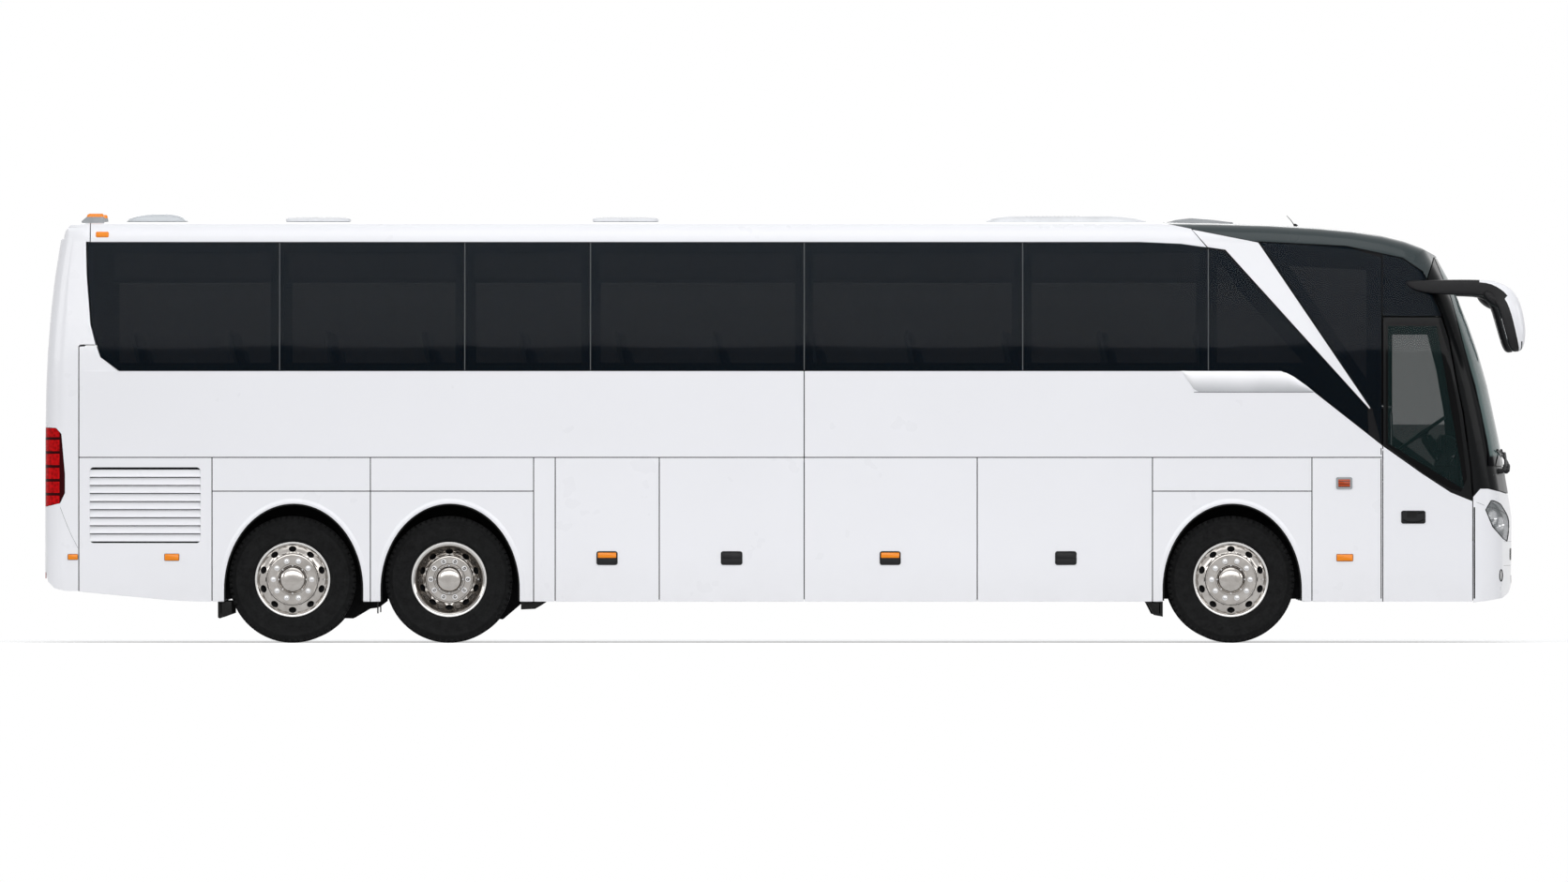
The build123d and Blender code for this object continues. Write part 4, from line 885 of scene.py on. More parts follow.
def addWheel(wheel):
    s = wheelSizes
    x, side, _, twin = wheelPlaces[wheel]
    kind = wheelKinds["drive" if twin else "front"]
    body, face, radii, cap, r = f"wheel_{wheel}", kind["face"], kind["holes"], kind["hubEnd"], s["cap"]

    def height(radius):
        if twin:
            return face + max(0.0, (radius - 0.212) / 0.052) ** 1.6 * 0.05
        return face - max(0.0, (radius - 0.214) / 0.077) ** 1.5 * 0.031

    outerEdge = height(radii[2])
    if twin:
        edge = [(0.264, outerEdge), (0.2725, outerEdge + 0.014), (0.2725, outerEdge - 0.02)]
    else:
        edge = [(0.291, outerEdge), (0.2925, outerEdge - 0.004), (0.286, outerEdge - 0.016)]
    bm = bmesh.new()
    barrel = [(radius, end * s["rimHalf"] + past) for radius, end, past in rimSection]
    for centre in wheelCentres(wheel):
        addLathe(bm, barrel, centre, 80, side, closed=True)
    centre = wheelCentres(wheel)[0]
    addHoledDisc(bm, centre, side, height, radii, kind["deep"])
    back = height(radii[1]) - 0.014
    addLathe(bm, edge, centre, 80, side)
    addLathe(bm, [(radii[2] + 0.004, back - 0.02), (radii[1] - 0.02, back - 0.05), (0.06, back - 0.05)],
             centre, 48, side, look=1)
    top = face + 0.01
    hub = [(radii[0], height(radii[0])), (radii[0] - 0.004, face + 0.004), (radii[0] - 0.009, top),
           (radii[0] - 0.016, top + 0.001), (radii[0] - 0.019, top - 0.003), (0.134, top - 0.003),
           (0.13, top + 0.003), (r + 0.012, top + 0.003), (r + 0.0115, top + 0.01)]
    addLathe(bm, hub + [(r + a, cap + b) for a, b in capDome] + [(0.0, cap)], centre, 80, side)
    bmesh.ops.remove_doubles(bm, verts=bm.verts, dist=0.0002)
    addMeshPiece(pieceName("rim", wheel), meshFrom(bm), [polished, chassisBlack], body,
                 (f"rim_{wheel}",), 30)
    meshes = [repeat(ringTree, unit, chrome, outwards((x, centre[1] + side * depth, centre[2]), side)
                     @ Matrix.Rotation(turn, 4, "Z"), Copies=count, Radius=radius)
              for unit, depth, turn, count, radius in (
                  (nutUnit(0.024), top - 0.003, pi / 2 + pi / 10, s["nuts"], kind["nuts"]),
                  (blockUnit(0.009, 0.014, -0.006, 0.006), cap - 0.04, 0.0, s["studs"], r + 0.008))]
    addMeshPiece(pieceName("wheelNuts", wheel), joinMeshes(meshes), chrome, body)
    valve, reach = bmesh.new(), radii[2] - 0.012
    addBar(valve, [(x + reach, centre[1] + side * (height(reach) - 0.01), centre[2]),
                   (x + reach - 0.006, centre[1] + side * (height(reach) + 0.035), centre[2])], 0.005, 8)
    addPiece(pieceName("valve", wheel), valve, chrome, body)


for wheel in wheelPlaces:
    addTyre(wheel)
    addWheel(wheel)
print("wheels made")


# seams, arch lips, mud flaps and the silver trim on the sides

seamSizes = {"half": 0.0036, "front": 1.262, "back": 1.237}
panelLines = {"skirt": 1.572, "arch": 1.286, "sill": 0.356, "panel": 1.2752}
skirt, archZ, sill = panelLines["skirt"], panelLines["arch"], panelLines["sill"]
seamUprights = (
    (-5.983, 0.44, 2.5), (-4.855, sill, skirt), (-3.514, 0.37, skirt), (-2.132, sill, skirt),
    (-1.949, sill, skirt), (3.108, sill, skirt), (4.458, sill, skirt), (0.159, skirt, 2.3))
seamLevels = ((skirt, -5.98, 5.05), (archZ, -4.855, -3.514), (archZ, -3.514, -2.132), (archZ, 3.108, 4.458))


def addSeams(side):
    s, bm = seamSizes, bmesh.new()
    boxes = [(x - s["half"], x + s["half"], low, high) for x, low, high in seamUprights]
    boxes += [(rear, front, z - s["half"], z + s["half"]) for z, rear, front in seamLevels]
    for x0, x1, z0, z1 in boxes:
        addBlock(bm, (x0, side * s["back"], z0), (x1, side * s["front"], z1))
    addPiece("seamRubber" + word[side], bm, rubber)


paneSeams = ((-4.283, 3.388), (-2.715, 3.388), (-1.651, 3.388), (0.159, 3.388), (2.009, 3.388), (3.581, 3.336))
paneFoot = 2.312


# grey sealant between the panes, a millimetre below the glass
def addPaneSeals(side):
    bm, half = bmesh.new(), seamSizes["half"]
    for x, top in paneSeams:
        rings = []
        for k in range(9):
            z = paneFoot + (top - paneFoot) * k / 8
            y = sideTouch("window_glass", side, x - 0.03, z).y
            inner, outer = y - side * 0.011, y - side * 0.0015
            rings.append([(x - half, inner, z), (x + half, inner, z), (x + half, outer, z), (x - half, outer, z)])
        addLoft(bm, rings)
    addPiece("paneSeals" + word[side], bm, sealGrey)


archSizes = {"forward": 0.01, "half": 0.59, "top": 1.18, "centreZ": 0.45, "foot": 0.357, "panel": 1.275}
archLip = ((0.0, -0.01), (0.0, 0.0022), (0.003, 0.0046), (0.01, 0.006), (0.022, 0.005), (0.034, 0.0024),
           (0.045, -0.0005), (0.045, -0.01))
archRubber = ((-0.014, -0.035), (-0.014, -0.01), (-0.01, -0.004), (0.0005, -0.002), (0.0005, -0.035))


# a section swept round the wheel arch: outwards from its edge, and outwards from the panel
def sweepArch(bm, axleX, side, section):
    s = archSizes
    cx, rise = axleX + s["forward"], s["top"] - s["centreZ"]
    path = [(cx + s["half"], s["foot"] + 0.02 * k, 1.0, 0.0) for k in range(4)]
    for k in range(49):
        c, d = cos(pi * k / 48), sin(pi * k / 48)
        nx, nz = c / s["half"], d / rise
        size = hypot(nx, nz)
        path.append((cx + s["half"] * c, s["centreZ"] + rise * d, nx / size, nz / size))
    path += [(cx - s["half"], s["foot"] + 0.02 * k, -1.0, 0.0) for k in range(3, -1, -1)]
    addLoft(bm, [[(x + nx * away, side * (s["panel"] + proud), z + nz * away) for away, proud in section]
                 for x, z, nx, nz in path])


mudFlaps = (
    [(3.06, 0.352), (3.196, 0.352), (3.196, 0.222), (3.12, 0.236)],
    [(-2.239, 0.352), (-2.02, 0.352), (-2.06, 0.322), (-2.12, 0.288), (-2.239, 0.283)],
    [(-4.806, 0.352), (-4.69, 0.352), (-4.69, 0.243), (-4.79, 0.207), (-4.806, 0.216)],
)
# the trim's top edge from its pointed rear to its swept front, and its sloping rear end
trim = {
    "level": 2.3035, "foot": 2.127, "rear": 3.352, "swell": 0.0065,
    "top": [(3.352, 2.3035), (3.6, 2.3035), (3.9, 2.3035), (4.1, 2.3035), (4.17, 2.301), (4.24, 2.289),
            (4.3, 2.258), (4.36, 2.216), (4.42, 2.173), (4.468, 2.134)],
    "tail": [(3.4, 2.235), (3.458, 2.152), (3.5, 2.127)],
}


def addTrim(side):
    t, panel = trim, panelLines["panel"]
    rows = [(x, max(t["foot"], t["level"] - (x - t["rear"]) * 1.35) if x < 3.5 else t["foot"], top)
            for x, top in t["top"]]
    rows[1:1] = [(x, z, t["level"]) for x, z in t["tail"]]
    rings = []
    for x, low, top in rows:
        height = max(top - low, 0.003)
        size = min(1.0, height / 0.06)
        swells = [sin(pi * (0.12 + 0.8 * k / 8)) ** 0.7 for k in range(9)]
        face = [(x, side * (panel + size * t["swell"] * swell), low + height * k / 8)
                for k, swell in enumerate(swells)]
        rings.append([(x, side * (panel - 0.012), low)] + face + [(x, side * (panel - 0.012), low + height)])
    bm, shadow = bmesh.new(), bmesh.new()
    addLoft(bm, rings)
    addPiece("silverTrim" + word[side], bm, satinSilver, crease=50)
    # a black bead under the trim's lower edge: a painted shadow line
    addBar(shadow, [(3.46, side * panel, 2.125), (4.47, side * panel, 2.125)], 0.0025, 6)
    addPiece("trimSeam" + word[side], shadow, rubber)


wellWalls = {
    "half": 0.616, "lid": 1.199, "radius": 0.311, "foot": 0.37, "axleHalf": 0.26, "axleTop": 0.98, "thick": 0.006,
    "insideY": (0.45, 0.52, 0.62),
    "flaps": (([(-3.745, 0.372), (-3.387, 0.372), (-3.387, 0.348), (-3.456, 0.295), (-3.526, 0.287),
                (-3.666, 0.204), (-3.745, 0.206)], 0.62),
              ([(-2.42, 0.372), (-2.239, 0.372), (-2.251, 0.322), (-2.4, 0.195), (-2.428, 0.2)], 0.52))}


# the inner wall of each wheel well, notched over the axle
def addWellWalls(side):
    w, bm = wellWalls, bmesh.new()
    for axleX, y in zip(axleLines, w["insideY"]):
        cx = axleX + archSizes["forward"]
        edges = (-w["half"], -w["axleHalf"], w["axleHalf"], w["half"])
        for low, high in zip(edges, edges[1:]):
            foot = w["axleTop"] if abs(low) == abs(high) else w["foot"]
            outline = [(cx + low, foot), (cx + high, foot)]
            for k in range(12, -1, -1):
                x = low + (high - low) * k / 12
                over = max(0.0, abs(x) - (w["half"] - w["radius"]))
                rise = sqrt(max(0.0, w["radius"] ** 2 - over ** 2))
                outline.append((cx + x, w["lid"] - w["radius"] + rise))
            addLoft(bm, [placed(outline, side * depth, "Y") for depth in (y - w["thick"], y)])
    for outline, y in w["flaps"]:
        addPlate(bm, outline, side * (y - w["thick"]), side * y)
    addPiece("wellWalls" + word[side], bm, blackFrame, crease=30)


for side in (right, left):
    addWellWalls(side)
    addSeams(side)
    addPaneSeals(side)
    addTrim(side)
    lips, lining = bmesh.new(), bmesh.new()
    for axleX in axleLines:
        sweepArch(lips, axleX, side, archLip)
        sweepArch(lining, axleX, side, archRubber)
    addPiece("archLips" + word[side], lips, lowWhite, "coach", crease=40)
    for outline in mudFlaps:
        addPlate(lining, outline, side * 0.94, side * 1.24, 0.006)
    addPiece("archRubber" + word[side], lining, rubber, crease=40)
print("sides trimmed")


# side lamps, luggage door handles and the door handle

handle = {
    "low": 0.6605, "high": 0.7775, "panel": 1.2752, "proud": 0.0042, "radius": 0.02, "rim": 0.0085,
    "places": ((1, -1.6, -1.421, True), (2, -0.547, -0.364, False), (3, 0.798, 0.976, True),
               (4, 2.283, 2.465, False)),
}
sideLamps = (  # x0, x1, z0, z1, the body they ride on
    (4.665, 4.808, 0.691, 0.754, "coach"), (-6.078, -5.989, 0.703, 0.754, "coach"),
    (-5.259, -5.132, 0.696, 0.757, "radiator_door"))
sideBeacon = (4.662, 4.8, 1.302, 1.405)


def addHandle(number, side, x0, x1, amber):
    h, bm = handle, bmesh.new()
    box = (x0, x1, h["low"], h["high"], h["radius"])

    def depth(proud):
        return side * (h["panel"] + proud)

    opening = boxOutline(*box, h["rim"])
    addBezel(bm, boxOutline(*box), opening, depth(-0.004), depth(h["proud"]))
    addPlate(bm, opening, depth(-0.004), depth(0.0006))
    inset = h["rim"] + 0.003
    low, middle = h["low"] + inset, (h["low"] + h["high"]) / 2
    addPlate(bm, boxOutline(x0 + inset, x1 - inset, middle + 0.002, h["high"] - inset, 0.005), depth(-0.004),
             depth(0.0034), 0.002, 1 if amber else 0)
    # the pull: a paddle that leans out over a finger slot
    paddle = ((0.0002, low + 0.01), (0.004, low + 0.012), (0.003, middle - 0.004), (0.0002, middle - 0.002))
    addLoft(bm, [[(x, depth(proud), z) for proud, z in paddle] for x in (x0 + inset, x1 - inset)])
    addPiece(f"luggageHandle{word[side]}{number}", bm, [blackPlastic, amberLens],
             f"luggage_door_{word[side].lower()}_{number}", crease=40)


def addSideLamps(side):
    for number, (x0, x1, z0, z1, body) in enumerate(sideLamps):
        bm = bmesh.new()
        addPlate(bm, boxOutline(x0, x1, z0, z1, 0.008), side * 1.27, side * 1.2772, 0.001, 1)
        addPlate(bm, boxOutline(x0, x1, z0, z1, 0.008, 0.0035), side * 1.27, side * 1.2835, 0.004)
        rides = "coach" if body == "coach" else f"{body}_{word[side].lower()}"
        addPiece(f"sideLamp{word[side]}{number}", bm, [amberLens, blackPlastic], rides, crease=40)
    bm = bmesh.new()
    outer, inner, pane = (boxOutline(*sideBeacon, 0.015, pull) for pull in (0.0, 0.018, 0.019))
    addBezel(bm, outer, inner, side * 1.27, side * 1.2805)
    addPlate(bm, pane, side * 1.27, side * 1.2785, 0.002, 1)
    addPiece(f"sideBeacon{word[side]}", bm, [greyPlastic, redAmber], crease=40)


doorHandle = (5.213, 5.419, 1.011, 1.121, 0.018)


def addDoorHandle():
    bm = bmesh.new()
    opening = boxOutline(*doorHandle, 0.008)
    addBezel(bm, boxOutline(*doorHandle), opening, -1.27, -1.28)
    addPlate(bm, opening, -1.27, -1.2756)
    addPlate(bm, boxOutline(5.262, 5.345, 1.062, 1.112, 0.006), -1.27, -1.2762, 0, 1)
    pull = [(5.232, -1.277, 1.046), (5.262, -1.2795, 1.03), (5.315, -1.28, 1.024), (5.37, -1.2795, 1.03),
            (5.402, -1.277, 1.046)]
    addBar(bm, curved(pull), 0.0045, 10, 2)
    addBar(bm, [(5.352, -1.278, 1.098), (5.396, -1.278, 1.106)], 0.004, 8, 2)
    addPiece("doorHandle", bm, [blackPlastic, rubber, blackGloss], "entry_door", crease=40)


for side in (right, left):
    for number, x0, x1, amber in handle["places"]:
        addHandle(number, side, x0, x1, amber)
    addSideLamps(side)
addDoorHandle()
print("handles and side lamps set")


# radiator doors with a louvred opening

louvre = {"x0": -5.89, "x1": -4.953, "z0": 0.846, "z1": 1.488, "radius": 0.034, "pitch": 0.0683, "slats": 9,
          "firstDrop": 0.022, "reach": 0.056, "inner": 1.2515, "outer": 1.2762, "backing": 1.248}


def slatUnit(width, reach, depth, thick=0.0022):
    bm = bmesh.new()
    curve = [(0.0, 0.002), (depth * 0.18, -0.006), (depth * 0.5, -reach * 0.5), (depth * 0.86, -reach * 0.9),
             (depth, -reach), (depth * 0.9, -reach - 0.0035)]
    section = curve + [(y - thick, z - thick * 0.3) for y, z in curve[::-1]]
    addLoft(bm, [[(x, y, z) for y, z in section] for x in (0.0, width)])
    return meshFrom(bm)


def addRadiatorDoor(side):
    v, body, name = louvre, f"radiator_door_{word[side].lower()}", "radiatorDoor" + word[side]
    cutter, backing = bmesh.new(), bmesh.new()
    box = (v["x0"], v["x1"], v["z0"], v["z1"])
    addPlate(cutter, boxOutline(*box, v["radius"], 0, 8), side * 1.2, side * 1.4)
    panel = shaped(carved(body, meshFrom(cutter)), ("BEVEL", {"width": 0.0025, **bevelled}))
    slats = repeat(rowTree, slatUnit(v["x1"] - v["x0"] + 0.004, v["reach"], v["outer"] - v["inner"]), lowWhite,
                   axesAt(((1, 0, 0), (0, side, 0), (0, 0, 1)), (0, side * v["inner"], 0)),
                   Copies=v["slats"], Start=(v["x0"] - 0.002, 0.0, v["z1"] - v["firstDrop"]),
                   Step=(0.0, 0.0, -v["pitch"]))
    addPlate(backing, boxOutline(v["x0"] - 0.012, v["x1"] + 0.012, v["z0"] - 0.012, v["z1"] + 0.012, 0.03),
             side * 1.2458, side * v["backing"])
    addMeshPiece(name, panel, lowWhite, body, (body,), 12)
    addMeshPiece(name + "Slats", slats, lowWhite, body, (), 50)
    addPiece(name + "Mesh", backing, blackFrame, body)


for side in (right, left):
    addRadiatorDoor(side)
print("radiator doors louvred")


# the tail: engine door, bumper line, lamps and reflectors, all let into the flat face

tail = {
    "x": -6.27, "louvreY": (0.1, 0.7), "louvreZ": (1.2, 1.62), "louvreDeep": 0.02, "louvrePitch": 0.042,
    "plate": (-0.27, 0.27, 0.8, 0.935), "plateDeep": 0.01, "handle": (-0.085, 0.085, 1.01, 1.07),
    "reflector": (0.88, 1.04, 0.545, 0.6), "bumperLine": 0.628,
}


def tailCutter(y0, y1, z0, z1, deep, radius=0.012):
    bm = bmesh.new()
    addPlate(bm, boxOutline(y0, y1, z0, z1, radius, 0, 6), tail["x"] - 0.05, tail["x"] + deep, 0, 0, "X")
    return meshFrom(bm)


# a plate on the tail between two depths below its face
def addTailPlate(bm, outline, inner, outer, soften=0):
    addPlate(bm, outline, tail["x"] + inner, tail["x"] + outer, soften, 0, "X")


def addEngineDoor():
    t, deep, pitch = tail, tail["louvreDeep"], tail["louvrePitch"]
    (y0, y1), (z0, z1) = t["louvreY"], t["louvreZ"]
    door = carved("engine_door", tailCutter(y0, y1, z0, z1, deep, 0.03), tailCutter(-y1, -y0, z0, z1, deep, 0.03),
                  tailCutter(*t["plate"], t["plateDeep"]), tailCutter(*t["handle"], 0.022, 0.02))
    addMeshPiece("engineDoor", door, lowWhite, "engine_door", ("engine_door",), 6)
    turn = axesAt(((0, -1, 0), (1, 0, 0), (0, 0, 1)), (t["x"] + deep - 0.002, 0, 0))
    slats = [repeat(rowTree, slatUnit(y1 - y0 - 0.004, 0.034, 0.017, 0.0018), lowWhite, turn,
                    Copies=int((z1 - z0 - 0.02) / pitch), Start=(a + 0.002, 0.0, z1 - 0.022),
                    Step=(0.0, 0.0, -pitch))
             for a in (-y1, y0)]
    addMeshPiece("engineSlats", joinMeshes(slats), lowWhite, "engine_door", (), 50)
    bm, blank = bmesh.new(), bmesh.new()
    for a in (-y1, y0):
        addTailPlate(bm, boxOutline(a, a + y1 - y0, z0, z1, 0.03), deep + 0.001, deep - 0.0012)
    addTailPlate(bm, boxOutline(*t["handle"], 0.02, 0.004), 0.0225, 0.018)
    grip = ((0.016, -0.06, 1.052), (0.008, -0.03, 1.044), (0.008, 0.03, 1.044), (0.016, 0.06, 1.052))
    addBar(bm, curved([(t["x"] + x, y, z) for x, y, z in grip]), 0.005, 10)
    addTailPlate(bm, boxOutline(*t["plate"], 0.012, 0.004), 0.0105, 0.006)
    addPiece("engineDoorFittings", bm, blackPlastic, "engine_door")
    addTailPlate(blank, boxOutline(*t["plate"], 0.012, 0.01), 0.0085, 0.003, 0.0015)
    addPiece("rearPlateBlank", blank, plateWhite, "engine_door")


def addTailCap():
    t, (y0, y1, z0, z1) = tail, tail["reflector"]
    groove, bm, line = bmesh.new(), bmesh.new(), bmesh.new()
    addBlock(groove, (t["x"] - 0.05, -0.78, t["bumperLine"] - 0.0025),
             (t["x"] + 0.006, 0.78, t["bumperLine"] + 0.0025))
    cap = carved("rear_cap", tailCutter(y0, y1, z0, z1, 0.006, 0.01), tailCutter(-y1, -y0, z0, z1, 0.006, 0.01),
                 meshFrom(groove))
    addMeshPiece("tailCap", cap, lowWhite, "coach", ("rear_cap",), 30)
    for a in (y0, -y1):
        addTailPlate(bm, boxOutline(a + 0.001, a + y1 - y0 - 0.001, z0 + 0.001, z1 - 0.001, 0.01), 0.0065, 0.0004,
                     0.002)
    addPiece("rearReflectors", bm, redLens)
    # a grey bar along the fold: painted shade in the crease
    for side in (right, left):  # the fold from the lamp down to the radiator door
        addBar(line, [sideTouch("rear_cap", side, -6.14 + 0.15 * k / 12,
                                1.15 - 0.345 * k / 12 - 0.02 * sin(pi * k / 12)) for k in range(13)],
               0.0013, 6)
    addPiece("tailFold", line, sealGrey)


# the black rubber lips on both sides of the entry door
doorSeals = (
    (5.04, 5.048, 0.376, 1.56, "side_panels"), (5.04, 5.048, 1.594, 1.652, "belt_panels"),
    (5.827, 5.84, 0.376, 1.15, "front_mask"))

addEngineDoor()
addTailCap()
seals, brakeLamp = bmesh.new(), bmesh.new()
for x0, x1, z0, z1, name in doorSeals:
    addDraped(seals, name, (1, 0, 0), (x0, x1, z0, z1), (0, 1, 0), 0.0006, 0.002, 2, 40)
addPiece("doorSeals", seals, rubber, crease=60)
addDraped(brakeLamp, "rear_cap", acrossY, (-0.24, 0.24, 3.272, 3.3), (1, 0, 0), 0.008, 0.006)
addPiece("highBrakeLamp", brakeLamp, redLens, crease=50)
print("tail finished")


# the nose: headlamps, fog lamps, grille, plate, wipers and the lines across the trim

noseLines = {"maskSeam": ((5.818, 1.2005), (5.85, 1.192), (5.885, 1.18), (5.918, 1.165)), "trimSeam": 1.4215,
             "bumperSeams": (0.655, 0.858)}
lampBowls = (  # the middle of each reflector as x, z, then its radius and how far it is sunk
    (6.01, 1.062, 0.058, 0.03), (6.075, 1.01, 0.056, 0.026))
# radius as a share of the bowl's, and depth
bowlSection = ((1, -0.004), (1.04, -0.001), (1.04, 0.0), (0.97, 0.0), (0.9, -0.01), (0.66, -0.02), (0.36, -0.026),
               (0.34, -0.014), (0.28, -0.01), (0.0, -0.008))
browLine = ((5.912, 1.168), (5.955, 1.15), (6.01, 1.14), (6.07, 1.115), (6.125, 1.077), (6.185, 1.03))


def facesOut(normal, middle):
    return normal.dot(Vector((middle.x - 5.6, middle.y * 0.55, 0)).normalized()) > 0.25


def addHeadlamps():
    for name, depth, thick, finish, stands in (("Lenses", 0.0004, 0.0035, clearLens, ("headlamps",)),
                                               ("Housings", 0.058, 0.003, lampDark, ())):
        addMeshPiece("headlamp" + name, skinOf("headlamps", facesOut, depth, thick), finish, "coach",
                     stands, 40)
    gasket = bmesh.new()
    addEdgeBead(gasket, "headlamps", facesOut, 0.0042)
    addPiece("headlampGaskets", gasket, rubber, crease=60)
    for side in (right, left):
        bowls, brow = bmesh.new(), bmesh.new()
        heading = Vector((0.72, side * 0.69, 0.0)).normalized()
        turn = heading.to_track_quat("Z", "Y").to_matrix().to_4x4()
        for x, z, r, sunk in lampBowls:
            spot = sideTouch("headlamps", side, x, z)
            bowl = bmesh.new()
            addLathe(bowl, [(r * share, depth) for share, depth in bowlSection], (0, 0, 0), 40)
            made = meshFrom(bowl)
            made.transform(Matrix.Translation(spot - heading * sunk) @ turn
                           @ Matrix.Rotation(radians(90), 4, "X"))
            bowls.from_mesh(made)
        addPiece("headlampBowls" + word[side], bowls, chrome, crease=40)
        # the dark edge of the painted brow over the lamp
        spots = [sideTouch("headlamps", side, p.x, p.z) for p in curved([(x, 0, z) for x, z in browLine], 5)]
        addBar(brow, [spot + Vector((0.0006, side * 0.0006, 0)) for spot in spots if spot], 0.0024, 8)
        addPiece("headlampBrow" + word[side], brow, sealGrey)


def addNoseLines():
    bm = bmesh.new()
    for side in (right, left):
        addBar(bm, [sideTouch("front_mask", side, x, z) for x, z in noseLines["maskSeam"]], 0.0015, 6)
    addBar(bm, [frontTouch("nose_trim", 1.16 * (k / 20 - 1), noseLines["trimSeam"]) for k in range(41)], 0.002, 6)
    addPiece("noseSeams", bm, sealGrey)


fogLamp = {"x": 6.062, "z": 0.572, "tall": 0.053, "wide": 0.034,
           "ring": ((1.0, -0.012), (1.0, 0.004), (0.93, 0.006), (0.84, 0.005), (0.8, -0.002), (0.78, -0.01)),
           "glass": ((0.8, -0.008), (0.66, 0.0), (0.45, 0.002), (0.02, 0.003))}


# an oval lamp in a dark ring, square to the skin it sits on
def addFogLamps():
    f = fogLamp
    for side in (right, left):
        middle, facing = meet(["front_mask"], (f["x"], side * 3, f["z"]), (0, -side, 0))
        across = facing.cross(upZ).normalized()
        upwards = across.cross(facing).normalized()
        if upwards.z < 0:
            across, upwards = -across, -upwards
        bm = bmesh.new()
        for look, profile in enumerate((f["ring"], f["glass"])):
            addLoft(bm, [[middle + across * (share * f["wide"] * c) + upwards * (share * f["tall"] * s)
                          + facing * depth for c, s in circle(36)] for share, depth in profile], look)
        addPiece("fogLamp" + word[side], bm, [blackGloss, chrome], crease=40)


grille = {"y": 0.56, "z0": 0.7, "z1": 0.8, "slats": 4, "plate": (0.26, 0.455, 0.57)}


def addFrontPanel():
    def addPad(name, finish, box, lift, sink, nu, nv, rounding):
        bm = bmesh.new()
        addDraped(bm, "front_mask", acrossY, box, (-1, 0, 0), lift, sink, nu, nv, rounding)
        addPiece(name, bm, finish, crease=50)

    g = grille
    y, z0, z1 = g["y"], g["z0"], g["z1"]
    half, p0, p1 = g["plate"]
    inset = 0.006
    addPad("frontGrilleBed", blackFrame, (-y, y, z0, z1), 0.0006, 0.004, 28, 4, 0.018)
    bars, line = bmesh.new(), bmesh.new()
    for k in range(g["slats"]):
        z = z0 + 0.014 + (z1 - z0 - 0.028) * k / (g["slats"] - 1)
        addBar(bars, [frontTouch("front_mask", y * 0.965 * (i / 12 - 1), z) - Vector((0.0025, 0, 0))
                      for i in range(25)], 0.005, 10, flat=0.6)
    addPiece("frontGrilleBars", bars, blackPlastic, crease=40)
    addPad("frontPlateHolder", blackPlastic, (-half, half, p0, p1), 0.005, 0.004, 12, 2, 0.0)
    addPad("frontPlateBlank", plateWhite, (-half + inset, half - inset, p0 + inset, p1 - inset), 0.0075, 0.0, 12, 2,
           0.0)
    for z in noseLines["bumperSeams"]:
        addBar(line, [frontTouch("front_mask", 1.02 * (k / 20 - 1), z) for k in range(41)], 0.0013, 6)
    addPiece("bumperSeams", line, sealGrey)


wipers = (  # pivot y, z, blade's middle y, z, blade's half length, and its slant
    (-0.9, 1.455, -0.43, 1.602, 0.43, -0.03),
    (0.13, 1.455, 0.6, 1.602, 0.43, -0.03),
)


# a point lifted off the windscreen or the trim under it; near the seam, rays above and below are tried
def onScreen(y, z, lift):
    for rise in (0, 0.02, -0.02, 0.04, -0.04, 0.07):
        spot = touch(["windscreen", "nose_trim"], (8, y, z + rise), (-1, 0, 0))
        if spot:
            return Vector((spot.x + lift + 0.2 * rise, y, z + 0.2 * lift))


def addWipers():
    bm = bmesh.new()
    for y0, z0, y1, z1, half, slant in wipers:
        def onBlade(t, lift):
            return onScreen(y1 + half * t, z1 + slant * t, lift)

        pivot, shares = onScreen(y0, z0, 0.0), [k / 8 - 1 for k in range(17)]
        addBar(bm, [pivot + Vector(p) for p in ((-0.015, 0, 0), (0.03, 0, 0), (0.042, 0, 0.002))],
               [0.024, 0.022, 0.014], 16)
        arm = [pivot + Vector((0.036, 0, 0)), onScreen(y0 + 0.1, z0 + 0.04, 0.05),
               onScreen((y0 + y1) / 2, (z0 + z1) / 2 + 0.01, 0.048), onScreen(y1, z1, 0.036)]
        addBar(bm, curved(arm), [0.017] * 7 + [0.012] * 12, 10, flat=0.7)
        addBar(bm, [onBlade(t, 0.014) for t in shares], 0.009, 8)
        addBar(bm, [onBlade(t, 0.016 + 0.014 * (1 - t * t)) for t in shares], 0.0045, 8)
        for t in (-0.62, 0.0, 0.62):
            addBar(bm, [onBlade(t, 0.012), onBlade(t, 0.034)], 0.006, 8)
    addPiece("wipers", bm, blackPlastic, "coach", crease=40)


addHeadlamps()
addNoseLines()
addFogLamps()
addFrontPanel()
addWipers()
print("nose finished")


# mirrors on swept arms: black inner shell, white outer shell, glass facing the driver

